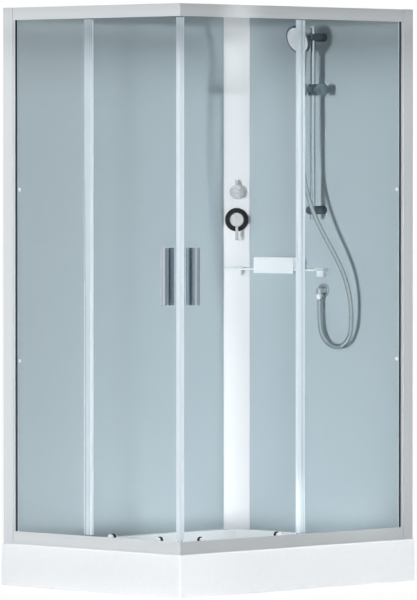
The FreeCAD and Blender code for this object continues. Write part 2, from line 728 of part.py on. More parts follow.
def make_back_wall(side):
    """Flat back wall, from the wall profile's groove to the column's groove."""
    end = FACE_LENGTH[side]
    along = (end - PANEL_INSET, end - PANEL_INSET + PANEL_THICK)
    wall = face_block(side, along, wall_span(side), (TRAY_HEIGHT, PANEL_TOP_Z))
    if side == "right":
        hole = ELBOW_SHANK_RADIUS + ELBOW_HOLE_CLEARANCE
        start = V(WALL_X - 1, SHOWER_Y, ELBOW_Z)
        wall = wall.cut(rod(start, start + V(PANEL_THICK + 2, 0, 0), hole))
    add("back_wall_" + side, wall)


def make_screw_caps():
    """Small domed caps over the screws that hold the back walls to the wall profiles."""
    ball = (CAP_RADIUS ** 2 + CAP_HEIGHT ** 2) / (2 * CAP_HEIGHT)
    caps = []
    for side in FACE_LENGTH:
        for z in CAP_Z:
            seat = at(side, FACE_LENGTH[side] - PANEL_INSET, CAP_FROM_FACE, z)
            out = along_face(side).negative()
            dome = Part.makeSphere(ball, seat + out * (CAP_HEIGHT - ball))
            caps.append(dome.common(rod(seat, seat + out * (CAP_HEIGHT + 1), CAP_RADIUS)))
    add("wall_screw_caps", Part.makeCompound(caps))


def column_grip(side):
    """Groove on the column's edge that takes the end of a back wall."""
    end = FACE_LENGTH[side] - PANEL_INSET
    stop = wall_span(side)[1] + PANEL_FIT
    start = stop - COLUMN_GRIP + COLUMN_GRIP_WALL
    wall = COLUMN_GRIP_WALL
    inner = end - PANEL_FIT
    outer = end + PANEL_THICK + PANEL_FIT
    z = (TRAY_HEIGHT, PANEL_TOP_Z)
    return [
        face_block(side, (inner - wall, inner), (start, stop + wall), z),
        face_block(side, (inner - wall, outer + wall), (stop, stop + wall), z),
        face_block(side, (outer, outer + wall), (start, stop + wall), z),
    ]


def make_column():
    """White corner column: flat front, two wall grooves and holes for the valves."""
    z = (TRAY_HEIGHT, PANEL_TOP_Z)
    half = COLUMN_HALF - PANEL_FIT
    front = [V(-half, 0, z[0]), V(half, 0, z[0]),
             V(half - COLUMN_WALL, COLUMN_WALL, z[0]), V(-half + COLUMN_WALL, COLUMN_WALL, z[0])]
    plate = on_column(polygon_prism(front, V(0, 0, z[1] - z[0])))
    column = fused([plate] + column_grip("left") + column_grip("right"))
    reach = 4 * COLUMN_WALL
    for level, radius in ((MIXER_Z, MIXER_SNOUT_RADIUS), (DIVERTER_Z, DIVERTER_SPINDLE_RADIUS + COLUMN_WALL)):
        hole = rod(V(0, -1, level), V(0, reach, level), radius + SNOUT_CLEARANCE)
        column = column.cut(on_column(hole))
    add("corner_column", column)


# Sliding doors

def door_trail(side):
    """Trailing edge of a closed door, along the face."""
    return FACE_LENGTH[side] / 2 + DOOR_OVERLAP


def roller_places(side):
    """Names and places of a door's four rollers."""
    lead = DOOR_MID + ROLLER_FROM_LEAD
    trail = door_trail(side) - ROLLER_FROM_TRAIL
    return (("top_front", lead, TOP_WHEEL_Z), ("top_rear", trail, TOP_WHEEL_Z),
            ("bottom_front", lead, LOW_WHEEL_Z), ("bottom_rear", trail, LOW_WHEEL_Z))


def handle_bolts():
    """Heights of the two handle fixings."""
    return HANDLE_Z - HANDLE_BOLT_SPACING / 2, HANDLE_Z + HANDLE_BOLT_SPACING / 2


def make_door_glass(side):
    """Sliding pane with holes for its rollers and handles."""
    lead = DOOR_MID + MAGNET_WIDTH
    pane = face_block(side, (lead, door_trail(side)), (DOOR_GLASS_DEPTH, DOOR_BACK), (DOOR_LOW_Z, DOOR_TOP_Z))
    holes = [(along, z, ROLLER_SHANK_RADIUS) for name, along, z in roller_places(side)]
    holes += [(DOOR_MID + HANDLE_FROM_CORNER, z, HANDLE_BOLT_RADIUS) for z in handle_bolts()]
    for along, z, radius in holes:
        drill = rod(at(side, along, DOOR_GLASS_DEPTH - 1, z), at(side, along, DOOR_BACK + 1, z),
                    radius + GLASS_HOLE_CLEARANCE)
        pane = pane.cut(drill)
    add("door_glass_" + side, pane)


def make_door_seals(side):
    """Magnetic seal on the meeting edge and a channel seal on the trailing edge."""
    z = (RAIL_TOP_Z + SEAL_END_GAP, TOP_RAIL_Z - SEAL_END_GAP)
    legs = (DOOR_GLASS_DEPTH - SEAL_WALL, DOOR_BACK + SEAL_WALL)
    lead = DOOR_MID + MAGNET_WIDTH
    meet = MEETING_GAP / 2 * math.sqrt(2)
    outline = ((legs[0] + meet, legs[0]), (lead + SEAL_LEG, legs[0]), (lead + SEAL_LEG, DOOR_GLASS_DEPTH),
               (lead, DOOR_GLASS_DEPTH), (lead, DOOR_BACK), (lead + SEAL_LEG, DOOR_BACK),
               (lead + SEAL_LEG, legs[1]), (legs[1] + meet, legs[1]))
    add("magnetic_seal_" + side, face_prism(side, outline, z))
    trail = door_trail(side)
    leg = trail - TRAIL_SEAL_LEG
    outline = ((trail + SEAL_WALL, legs[0]), (leg, legs[0]), (leg, DOOR_GLASS_DEPTH),
               (trail, DOOR_GLASS_DEPTH), (trail, DOOR_BACK), (leg, DOOR_BACK),
               (leg, legs[1]), (trail + SEAL_WALL, legs[1]))
    add("door_edge_seal_" + side, face_prism(side, outline, z))


def door_handle(side, glass, away):
    """One grip: a full-length T section on its base, bolted to one side of the glass."""
    middle = DOOR_MID + HANDLE_FROM_CORNER
    half = HANDLE_WIDTH / 2
    neck = HANDLE_NECK / 2
    z = (HANDLE_Z - HANDLE_LENGTH / 2, HANDLE_Z + HANDLE_LENGTH / 2)
    levels = [glass + away * rise
              for rise in (0, HANDLE_BASE, HANDLE_DEPTH - HANDLE_PLATE, HANDLE_DEPTH)]
    corners = ((half, 0), (half, 1), (neck, 1), (neck, 2), (half, 2), (half, 3))
    outline = [(middle + reach, levels[step]) for reach, step in corners]
    outline += [(middle - reach, levels[step]) for reach, step in reversed(corners)]
    grip = face_prism(side, outline, z)
    skin = at(side, middle, levels[3], HANDLE_Z)
    grip = rounded(grip, HANDLE_EDGE_RADIUS,
                   lambda edge, mid: near((mid - skin).dot(inward(side)), 0))
    pieces = [grip]
    for level in handle_bolts():
        pieces.append(rod(at(side, middle, glass - away * GLASS / 2, level),
                          at(side, middle, levels[1], level), HANDLE_BOLT_RADIUS))
    return fused(pieces)


def make_roller_mounts(side):
    """Roller fittings through the glass: outer cap, shank, inner washer, axle and its head."""
    wheel_near = TRACK_DEPTH - WHEEL_WIDTH / 2
    wheel_far = TRACK_DEPTH + WHEEL_WIDTH / 2
    cap_skin = DOOR_GLASS_DEPTH - ROLLER_CAP_THICK
    bevel = ROLLER_CAP_THICK / 3
    outline = ((0, cap_skin), (ROLLER_CAP_RADIUS - bevel, cap_skin), (ROLLER_CAP_RADIUS, cap_skin + bevel),
               (ROLLER_CAP_RADIUS, DOOR_GLASS_DEPTH), (ROLLER_SHANK_RADIUS, DOOR_GLASS_DEPTH),
               (ROLLER_SHANK_RADIUS, DOOR_BACK), (ROLLER_WASHER_RADIUS, DOOR_BACK),
               (ROLLER_WASHER_RADIUS, wheel_near - RUNNING_GAP), (AXLE_RADIUS, wheel_near - RUNNING_GAP),
               (AXLE_RADIUS, wheel_far + RUNNING_GAP), (ROLLER_HEAD_RADIUS, wheel_far + RUNNING_GAP),
               (ROLLER_HEAD_RADIUS, wheel_far + RUNNING_GAP + 1), (0, wheel_far + RUNNING_GAP + 1))
    mounts = [face_turned(side, outline, along, z) for name, along, z in roller_places(side)]
    add("roller_mounts_" + side, Part.makeCompound(mounts))


def make_rollers(side):
    """Grooved wheels that straddle the tracks."""
    low = TRACK_DEPTH - WHEEL_WIDTH / 2
    high = TRACK_DEPTH + WHEEL_WIDTH / 2
    groove = (TRACK_DEPTH - WHEEL_GROOVE_WIDTH / 2, TRACK_DEPTH + WHEEL_GROOVE_WIDTH / 2)
    flare = (WHEEL_WIDTH - WHEEL_GROOVE_WIDTH) / 8
    bore = AXLE_RADIUS + AXLE_CLEARANCE
    outline = ((bore, low), (WHEEL_RADIUS, low), (WHEEL_RADIUS, groove[0] - flare),
               (WHEEL_GROOVE_RADIUS, groove[0]), (WHEEL_GROOVE_RADIUS, groove[1]),
               (WHEEL_RADIUS, groove[1] + flare), (WHEEL_RADIUS, high), (bore, high))
    for name, along, z in roller_places(side):
        add("roller_" + side + "_" + name, face_turned(side, outline, along, z))


def make_doors():
    """Both sliding doors with everything that travels on them."""
    for side in FACE_LENGTH:
        make_door_glass(side)
        make_door_seals(side)
        grips = [door_handle(side, DOOR_GLASS_DEPTH, -1), door_handle(side, DOOR_BACK, 1)]
        add("door_handles_" + side, Part.makeCompound(grips))
        make_roller_mounts(side)
        make_rollers(side)


# Valves; built on the plane y = 0 facing -Y, then moved onto the column

def make_valve_body():
    """Brass body behind the column with two inlets, an outlet and two snouts through the front."""
    low = MIXER_Z - MIXER_SNOUT_RADIUS - VALVE_END
    high = DIVERTER_Z + VALVE_END
    centre = V(0, VALVE_DEPTH, 0)
    pieces = [rod(centre + V(0, 0, low), centre + V(0, 0, high), VALVE_RADIUS)]
    pieces.append(rod(V(0, VALVE_DEPTH, MIXER_Z), V(0, -MIXER_SNOUT_REACH, MIXER_Z), MIXER_SNOUT_RADIUS))
    pieces.append(rod(V(0, VALVE_DEPTH, DIVERTER_Z), V(0, -DIVERTER_SPINDLE_REACH, DIVERTER_Z),
                      DIVERTER_SPINDLE_RADIUS))
    half = INLET_SPACING / 2
    level = low - INLET_DROP
    pieces.append(rod(V(-half, INLET_DEPTH, level), V(half, INLET_DEPTH, level), INLET_ARM_RADIUS))
    pieces.append(rod(V(0, INLET_DEPTH, level), V(0, INLET_DEPTH, low + VALVE_END / 2), INLET_NECK_RADIUS))
    for x in (-half, half):
        root = V(x, INLET_DEPTH - INLET_BOSS_RADIUS / 2, level)
        shoulder = V(x, INLET_SHOULDER, level)
        pieces.append(rod(root, shoulder, INLET_BOSS_RADIUS))
        pieces.append(rod(root, shoulder + V(0, INLET_THREAD_LENGTH, 0), INLET_THREAD_RADIUS))
    body = fused(pieces)
    body = body.cut(rod(V(0, VALVE_DEPTH, high - OUTLET_THREAD_DEPTH), V(0, VALVE_DEPTH, high + 1),
                        OUTLET_THREAD_RADIUS))
    socket = STEM_SPIGOT_RADIUS + PIVOT_CLEARANCE
    body = body.cut(rod(V(0, -MIXER_SNOUT_REACH - 1, MIXER_Z),
                        V(0, STEM_SPIGOT_LENGTH - MIXER_SNOUT_REACH, MIXER_Z), socket))
    add("valve_body", on_column(body))


def make_mixer():
    """Black rosette, turning stem and the lever cup that tilts on it."""
    front = V(0, 0, MIXER_Z)
    out = V(0, -1, 0)
    slope = ROSETTE_THICK / 2
    outline = ((ROSETTE_BORE, 0), (ROSETTE_RADIUS, 0), (ROSETTE_RADIUS, ROSETTE_THICK - slope),
               (ROSETTE_RADIUS - slope, ROSETTE_THICK), (ROSETTE_BORE, ROSETTE_THICK))
    add("mixer_rosette", on_column(turned(outline, front, out)))
    base = MIXER_SNOUT_REACH + TURN_CLEARANCE
    tip = MIXER_SNOUT_REACH - STEM_SPIGOT_LENGTH + TURN_CLEARANCE
    outline = ((0, tip), (STEM_SPIGOT_RADIUS, tip), (STEM_SPIGOT_RADIUS, base), (STEM_RADIUS, base),
               (STEM_RADIUS, base + STEM_LENGTH), (0, base + STEM_LENGTH))
    stem = turned(outline, front, out)
    pivot = front + out * PIVOT_FROM_FACE
    pin_reach = MIXER_CUP_RADIUS - MIXER_CUP_WALL / 2
    pin = rod(pivot - V(pin_reach, 0, 0), pivot + V(pin_reach, 0, 0), PIVOT_PIN_RADIUS)
    add("mixer_stem", on_column(fused([stem, pin])))
    inner = MIXER_CUP_RADIUS - MIXER_CUP_WALL
    soft = MIXER_CUP_WALL / 3
    outline = ((inner, MIXER_CUP_BACK), (MIXER_CUP_RADIUS, MIXER_CUP_BACK),
               (MIXER_CUP_RADIUS, MIXER_CUP_FRONT - soft), (MIXER_CUP_RADIUS - soft, MIXER_CUP_FRONT),
               (0, MIXER_CUP_FRONT), (0, MIXER_CUP_FRONT - MIXER_CUP_WALL),
               (inner, MIXER_CUP_FRONT - MIXER_CUP_WALL))
    cup = turned(outline, front, out)
    hole = PIVOT_PIN_RADIUS + PIVOT_CLEARANCE
    cup = cup.cut(rod(pivot - V(pin_reach + 0.1, 0, 0), pivot + V(pin_reach + 0.1, 0, 0), hole))
    lever_y = -(MIXER_CUP_BACK + MIXER_CUP_FRONT) / 2
    lever = rod(V(0, lever_y, MIXER_Z - inner - 1), V(0, lever_y, MIXER_Z - LEVER_REACH), LEVER_RADIUS)
    lever = rounded(lever, LEVER_RADIUS / 2, lambda edge, mid: mid.z < MIXER_Z - LEVER_REACH + 1
                    and edge.Closed)
    add("mixer_handle", on_column(fused([cup, lever])))


def make_diverter():
    """Round knob with an upright pin, turning on the valve's spindle."""
    front = V(0, 0, DIVERTER_Z)
    bore = DIVERTER_SPINDLE_RADIUS + PIVOT_CLEARANCE
    depth = DIVERTER_SPINDLE_REACH + TURN_CLEARANCE
    outline = ((bore, DIVERTER_KNOB_BACK), (DIVERTER_KNOB_RADIUS, DIVERTER_KNOB_BACK),
               (DIVERTER_KNOB_RADIUS, DIVERTER_KNOB_FRONT), (0, DIVERTER_KNOB_FRONT),
               (0, depth), (bore, depth))
    dome = Part.makeSphere(DIVERTER_DOME_RADIUS, front + V(0, DIVERTER_DOME_RADIUS - DIVERTER_KNOB_FRONT, 0))
    knob = turned(outline, front, V(0, -1, 0)).common(dome)
    pin_y = -(DIVERTER_KNOB_BACK + DIVERTER_KNOB_FRONT) / 2
    pin = rod(V(0, pin_y, DIVERTER_Z + DIVERTER_KNOB_RADIUS - 2), V(0, pin_y, DIVERTER_Z + DIVERTER_PIN_REACH),
              LEVER_RADIUS)
    top = DIVERTER_Z + DIVERTER_PIN_REACH
    pin = rounded(pin, LEVER_RADIUS / 2, lambda edge, mid: near(mid.z, top) and edge.Closed)
    add("diverter_knob", on_column(fused([knob, pin])))


# Hand shower on its rail

def make_shower_rail():
    """Tube with closed ends, held off the wall by two round brackets."""
    axis = V(TUBE_X, SHOWER_Y, 0)
    tube = rod(axis + V(0, 0, RAIL_TUBE_BOTTOM), axis + V(0, 0, RAIL_TUBE_TOP), RAIL_TUBE_RADIUS)
    tube = rounded(tube, RAIL_TUBE_RADIUS / 3, lambda edge, mid: edge.Closed)
    cap = 2 * RAIL_TUBE_RADIUS
    bore = rod(axis + V(0, 0, RAIL_TUBE_BOTTOM + cap), axis + V(0, 0, RAIL_TUBE_TOP - cap),
               RAIL_TUBE_RADIUS - RAIL_TUBE_WALL)
    add("shower_rail", tube.cut(bore))
    brackets = []
    for z in RAIL_BRACKET_Z:
        start = V(WALL_X, SHOWER_Y, z)
        nose = V(TUBE_X - RAIL_BRACKET_NOSE, SHOWER_Y, z)
        bracket = rod(start, nose, RAIL_BRACKET_RADIUS)
        bracket = rounded(bracket, RAIL_BRACKET_EDGE,
                          lambda edge, mid: near(mid.x, nose.x) and edge.Closed)
        hole = rod(axis + V(0, 0, z - 2 * RAIL_BRACKET_RADIUS), axis + V(0, 0, z + 2 * RAIL_BRACKET_RADIUS),
                   RAIL_TUBE_RADIUS)
        brackets.append(bracket.cut(hole))
    add("rail_brackets", Part.makeCompound(brackets))


def tilt_pivot():
    """Middle of the pin that the holder tilts on."""
    return V(TUBE_X - TILT_PIVOT_REACH, SHOWER_Y, SLIDER_Z)


def make_slider():
    """Sleeve on the tube with a knob neck on its side, two ears in front and their pin."""
    centre = V(TUBE_X, SHOWER_Y, SLIDER_Z)
    low = centre - V(0, 0, SLIDER_HEIGHT / 2)
    high = centre + V(0, 0, SLIDER_HEIGHT / 2)
    sleeve = rounded(rod(low, high, SLIDER_RADIUS), SLIDER_RADIUS / 6, lambda edge, mid: edge.Closed)
    neck = rod(centre, centre - V(0, SLIDER_NECK_END, 0), SLIDER_NECK_RADIUS)
    pivot = tilt_pivot()
    ears = []
    for sign in (-1, 1):
        inner = SHOWER_Y + sign * SLIDER_EAR_GAP / 2
        outer = inner + sign * SLIDER_EAR_THICK
        low_y, high_y = sorted((inner, outer))
        arm = block((pivot.x, low_y, SLIDER_Z - SLIDER_EAR_RADIUS), (TUBE_X, high_y, SLIDER_Z + SLIDER_EAR_RADIUS))
        eye = rod(V(pivot.x, low_y, SLIDER_Z), V(pivot.x, high_y, SLIDER_Z), SLIDER_EAR_RADIUS)
        ears += [arm, eye]
    reach = SLIDER_EAR_GAP / 2 + SLIDER_EAR_THICK
    pin = rod(pivot - V(0, reach, 0), pivot + V(0, reach, 0), TILT_PIN_RADIUS)
    slider = fused([sleeve, neck, pin] + ears)
    bore = rod(low - V(0, 0, 1), high + V(0, 0, 1), RAIL_TUBE_RADIUS + SLIDER_CLEARANCE)
    tap = rod(centre - V(0, SLIDER_NECK_END - KNOB_SPIGOT_LENGTH - RUNNING_GAP, 0),
              centre - V(0, SLIDER_NECK_END + 1, 0), KNOB_SPIGOT_RADIUS + KNOB_SPIGOT_CLEARANCE)
    add("rail_slider", slider.cut(bore).cut(tap))


def make_clamp_knob():
    """Fluted knob that clamps the slider, on the side of the rail."""
    centre = V(TUBE_X, SHOWER_Y, SLIDER_Z)
    start = centre - V(0, KNOB_START, 0)
    end = centre - V(0, KNOB_END, 0)
    knob = rounded(rod(start, end, KNOB_RADIUS), KNOB_FLUTE_RADIUS, lambda edge, mid: edge.Closed
                   and near(mid.y, end.y))
    for step in range(KNOB_FLUTES):
        angle = 2 * math.pi * step / KNOB_FLUTES
        offset = V(math.cos(angle), 0, math.sin(angle)) * (KNOB_RADIUS + KNOB_FLUTE_RADIUS / 2)
        knob = knob.cut(rod(start + offset + V(0, 1, 0), end + offset - V(0, 1, 0), KNOB_FLUTE_RADIUS))
    spigot = rod(start, start + V(0, KNOB_SPIGOT_LENGTH, 0), KNOB_SPIGOT_RADIUS)
    add("slider_clamp_knob", fused([knob, spigot]))


def handset_placement():
    """Place of the hand shower's own axis in the holder, leaning back towards the rail."""
    turn = FreeCAD.Rotation(V(0, 1, 0), HANDSET_LEAN)
    return FreeCAD.Placement(V(TUBE_X - HOLDER_REACH, SHOWER_Y, SLIDER_Z), turn)


def in_handset(shape):
    """Move a shape built about the hand shower's own axis to its place in the holder."""
    shape = shape.copy()
    shape.Placement = handset_placement().multiply(shape.Placement)
    return shape


def seat_radius(z, gap):
    """Radius of the tapered seat at a height along the hand shower's axis."""
    share = (z + HOLDER_HEIGHT / 2) / HOLDER_HEIGHT
    return HANDSET_SEAT_BOTTOM_RADIUS + share * (HANDSET_SEAT_TOP_RADIUS - HANDSET_SEAT_BOTTOM_RADIUS) + gap


def make_holder():
    """Slotted tapered cup for the hand shower, with a tongue between the slider's ears."""
    half = HOLDER_HEIGHT / 2
    cup = rounded(rod(V(0, 0, -half), V(0, 0, half), HOLDER_RADIUS), HOLDER_RADIUS / 8,
                  lambda edge, mid: edge.Closed)
    seat = Part.makeCone(seat_radius(-half - 1, HANDSET_SEAT_GAP), seat_radius(half + 1, HANDSET_SEAT_GAP),
                         HOLDER_HEIGHT + 2, V(0, 0, -half - 1))
    slot = block((-2 * HOLDER_RADIUS, -HOLDER_SLOT / 2, -half - 1), (0, HOLDER_SLOT / 2, half + 1))
    cup = in_handset(cup)
    pivot = tilt_pivot()
    width = HOLDER_TONGUE / 2
    tongue = block((TUBE_X - HOLDER_REACH, SHOWER_Y - width, SLIDER_Z - SLIDER_EAR_RADIUS + 1),
                   (pivot.x, SHOWER_Y + width, SLIDER_Z + SLIDER_EAR_RADIUS - 1))
    eye = rod(V(pivot.x, SHOWER_Y - width, SLIDER_Z), V(pivot.x, SHOWER_Y + width, SLIDER_Z),
              SLIDER_EAR_RADIUS - 1)
    bore = rod(pivot - V(0, HOLDER_TONGUE, 0), pivot + V(0, HOLDER_TONGUE, 0), TILT_PIN_RADIUS + PIVOT_CLEARANCE)
    holder = fused([cup, tongue, eye]).cut(in_handset(seat)).cut(in_handset(slot)).cut(bore)
    add("handset_holder", holder)


def head_placement():
    """Place of the spray head: its own +Z is the way the water leaves."""
    turn = FreeCAD.Rotation(V(0, 1, 0), -90 - HEAD_TILT)
    return FreeCAD.Placement(V(-HEAD_FORWARD, 0, HEAD_CENTRE_Z), turn)


def ring_wire(z, half_x, half_y, centre_x):
    """Closed elliptic wire across the hand shower's axis."""
    big = max(half_x, half_y)
    small = min(half_x, half_y)
    if near(big, small):
        return Part.Wire(Part.Circle(V(centre_x, 0, z), V(0, 0, 1), big).toShape())
    ellipse = Part.Ellipse(V(centre_x, 0, z), big, small)
    edge = ellipse.toShape()
    if half_y > half_x:
        edge.rotate(V(centre_x, 0, z), V(0, 0, 1), 90)
    return Part.Wire(edge)


def make_handset():
    """Hand shower: tapered handle, widening neck and a round domed head with a spray plate."""
    half = HOLDER_HEIGHT / 2
    outline = ((0, -HANDSET_TAIL), (HOSE_NUT_RADIUS - 2, -HANDSET_TAIL), (HOSE_NUT_RADIUS - 1, -half),
               (seat_radius(-half, 0), -half), (seat_radius(half, 0), half),
               (HANDSET_NECK_RADIUS, HANDSET_NECK_Z), (0, HANDSET_NECK_Z))
    handle = turned(outline, V(0, 0, 0), V(0, 0, 1))
    rise = HEAD_CENTRE_Z - HANDSET_NECK_Z
    slim = HANDSET_NECK_RADIUS
    neck = Part.makeLoft([
        ring_wire(HANDSET_NECK_Z, slim, slim, 0),
        ring_wire(HANDSET_NECK_Z + rise * 0.27, slim * 0.9, slim * 1.25, -HEAD_FORWARD * 0.03),
        ring_wire(HANDSET_NECK_Z + rise * 0.55, slim * 0.75, slim * 1.6, -HEAD_FORWARD * 0.2),
        ring_wire(HANDSET_NECK_Z + rise * 0.82, slim * 0.4, slim * 1.7, -HEAD_FORWARD * 0.48),
    ], True)
    dome = HEAD_DEPTH - HEAD_EDGE
    ball = (HEAD_RADIUS ** 2 + dome ** 2) / (2 * dome)
    rim = Part.makeCylinder(HEAD_RADIUS, HEAD_EDGE, V(0, 0, -HEAD_EDGE))
    back = Part.makeSphere(ball, V(0, 0, -HEAD_DEPTH + ball))
    back = back.common(Part.makeCylinder(HEAD_RADIUS, dome, V(0, 0, -HEAD_DEPTH)))
    head = fused([rim, back])
    recess = Part.makeCylinder(FACE_RADIUS, FACE_THICK + 1, V(0, 0, -FACE_THICK))
    front = Part.makeCylinder(HEAD_RADIUS, HEAD_DEPTH, V(0, 0, 0))
    spray = Part.makeCylinder(FACE_RADIUS - PANEL_FIT, FACE_THICK + FACE_PROUD, V(0, 0, -FACE_THICK))
    spray = rounded(spray, FACE_PROUD * 0.9, lambda edge, mid: near(mid.z, FACE_PROUD) and edge.Closed)
    for shape in (head, recess, front, spray):
        shape.Placement = head_placement().multiply(shape.Placement)
    body = fused([handle, neck, head]).cut(recess).cut(front)
    add("hand_shower", in_handset(body))
    add("spray_face", in_handset(spray))
    nut = ((0, -HANDSET_TAIL - HOSE_NUT_LENGTH), (HOSE_DIAMETER / 2 + 1, -HANDSET_TAIL - HOSE_NUT_LENGTH),
           (HOSE_NUT_RADIUS, -HANDSET_TAIL - HOSE_NUT_LENGTH / 3), (HOSE_NUT_RADIUS, -HANDSET_TAIL),
           (0, -HANDSET_TAIL))
    add("handset_hose_nut", in_handset(turned(nut, V(0, 0, 0), V(0, 0, 1))))


def make_elbow():
    """Wall elbow: flange, bent pipe, nut and the threaded tail behind the wall."""
    wall = V(WALL_X, SHOWER_Y, ELBOW_Z)
    knee = wall - V(ELBOW_REACH, 0, 0)
    foot = V(knee.x, knee.y, ELBOW_NUT_TOP)
    shoulder = V(TRAY_LENGTH / 2 - ELBOW_THREAD_LENGTH, SHOWER_Y, ELBOW_Z)
    flange = rounded(rod(wall, wall - V(ELBOW_FLANGE_THICK, 0, 0), ELBOW_FLANGE_RADIUS), ELBOW_FLANGE_THICK / 3,
                     lambda edge, mid: edge.Closed and mid.x < WALL_X - 1)
    pieces = [flange, rod(wall, knee, ELBOW_PIPE_RADIUS), Part.makeSphere(ELBOW_PIPE_RADIUS, knee),
              rod(knee, foot, ELBOW_PIPE_RADIUS - 1),
              rod(wall, shoulder, ELBOW_SHANK_RADIUS),
              rod(wall, shoulder + V(ELBOW_THREAD_LENGTH, 0, 0), ELBOW_THREAD_RADIUS)]
    add("wall_elbow", fused(pieces))
    drop = ELBOW_NUT_LENGTH
    nut = ((0, 0), (ELBOW_NUT_RADIUS, 0), (ELBOW_NUT_RADIUS, drop * 0.6), (HOSE_DIAMETER / 2 + 1, drop), (0, drop))
    add("elbow_hose_nut", turned(nut, foot, V(0, 0, -1)))


def make_hose():
    """Hose of straight runs and tangent arcs through the route's points."""
    tail = HANDSET_TAIL + HOSE_NUT_LENGTH + HOSE_NUT_GAP
    top = [handset_placement().multVec(V(0, 0, -z)) for z in (tail, tail + HOSE_LEAD)]
    mouth = V(WALL_X - ELBOW_REACH, SHOWER_Y, ELBOW_NUT_TOP - ELBOW_NUT_LENGTH)
    points = top + [V(*point) for point in HOSE_ROUTE] + [mouth - V(0, 0, HOSE_LEAD * 0.9), mouth]
    print("hose points", " ".join("(%.2f,%.2f,%.2f)" % tuple(point) for point in points))
    edges = []
    radii = []
    length = 0.0
    start = points[0]
    for before, corner, after in zip(points, points[1:], points[2:]):
        run_in = corner - before
        run_out = after - corner
        tangent = HOSE_ARC_SHARE * min(run_in.Length, run_out.Length)
        half_turn = run_in.getAngle(run_out) / 2
        radius = tangent / math.tan(half_turn)
        radii.append(radius)
        first = corner - run_in * (tangent / run_in.Length)
        last = corner + run_out * (tangent / run_out.Length)
        bisector = (last - corner).normalize() + (first - corner).normalize()
        bisector.normalize()
        middle = corner + bisector * (radius / math.cos(half_turn) - radius)
        edges.append(Part.LineSegment(start, first).toShape())
        edges.append(Part.Arc(first, middle, last).toShape())
        length += (first - start).Length + 2 * half_turn * radius
        start = last
    edges.append(Part.LineSegment(start, points[-1]).toShape())
    length += (points[-1] - start).Length
    section = Part.Wire(Part.Circle(points[0], points[1] - points[0], HOSE_DIAMETER / 2).toShape())
    hose = Part.Wire(edges).makePipeShell([section], True, False)
    expected = math.pi * HOSE_DIAMETER ** 2 / 4 * length
    print("hose length %.1f mm, radii %s" % (length, " ".join("%.0f" % radius for radius in radii)))
    print("hose volume against section times length: %.5f" % (hose.Volume / expected))
    add("shower_hose", hose)


# Shelf

def clip():
    """Glass clip on the plane y = 0 facing -Y: block below, jaw above and a back plate."""
    low = SHELF_LOW - CLIP_BLOCK_HEIGHT
    top = SHELF_TOP + CLIP_JAW_THICK
    half = CLIP_BLOCK_WIDTH / 2
    jaw = CLIP_JAW_WIDTH / 2
    return fused([
        block((-half, -CLIP_BLOCK_DEPTH, low), (half, 0, SHELF_LOW)),
        block((-half, -CLIP_BACK_THICK, low), (half, 0, top)),
        block((-jaw, -CLIP_JAW_DEPTH, SHELF_TOP), (jaw, 0, top)),
    ])


def make_shelf():
    """Glass shelf from the column to the short back wall, its two clips and the bin on it."""
    wall_clip = clip()
    wall_clip.Placement = FreeCAD.Placement(V(WALL_X, SHELF_CLIP_Y, 0), FreeCAD.Rotation(V(0, 0, 1), -90))
    add("shelf_clips", Part.makeCompound([wall_clip, on_column(clip())]))
    back = WALL_X - SHELF_BACK_GAP
    diagonal = COLUMN_FACE.x + COLUMN_FACE.y - SHELF_BACK_GAP * math.sqrt(2)
    left = WALL_Y - SHELF_WALL_GAP
    points = [V(back, SHELF_END_Y, SHELF_LOW), V(back, diagonal - back, SHELF_LOW),
              V(diagonal - left, left, SHELF_LOW), V(SHELF_FRONT_X, left, SHELF_LOW),
              V(SHELF_FRONT_X, SHELF_END_Y, SHELF_LOW)]
    if diagonal - left <= SHELF_FRONT_X:
        points[2:4] = [V(SHELF_FRONT_X, diagonal - SHELF_FRONT_X, SHELF_LOW)]
    add("shelf_glass", polygon_prism(points, V(0, 0, SHELF_THICK)))
    low_y = BIN_CENTRE_Y - BIN_LENGTH / 2
    high_y = BIN_CENTRE_Y + BIN_LENGTH / 2
    front = SHELF_FRONT_X - BIN_FRONT_GAP - BIN_WALL
    rim = SHELF_TOP + BIN_HEIGHT
    outer = block((front, low_y, SHELF_TOP), (front + BIN_DEPTH, high_y, rim))
    inner = block((front + BIN_WALL, low_y + BIN_WALL, SHELF_TOP + BIN_WALL),
                  (front + BIN_DEPTH - BIN_WALL, high_y - BIN_WALL, rim + 1))
    fascia = block((front, low_y, SHELF_TOP - BIN_FASCIA_DROP), (front + BIN_WALL, high_y, SHELF_TOP + 1))
    add("shelf_bin", fused([outer, fascia]).cut(inner))


def main():
    """Build every node and write one file for each."""
    make_tray()
    make_support()
    make_drain()
    make_frame()
    for side in FACE_LENGTH:
        make_back_wall(side)
    make_screw_caps()
    make_column()
    make_doors()
    make_valve_body()
    make_mixer()
    make_diverter()
    make_shower_rail()
    make_slider()
    make_clamp_knob()
    make_holder()
    make_handset()
    make_elbow()
    make_hose()
    make_shelf()
    os.makedirs("parts", exist_ok=True)
    for name, shape in NODES.items():
        shape.exportStep("parts/" + name + ".step")
    print(len(NODES), "nodes")


main()
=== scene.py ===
"""Finishes, hose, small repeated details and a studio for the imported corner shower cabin."""

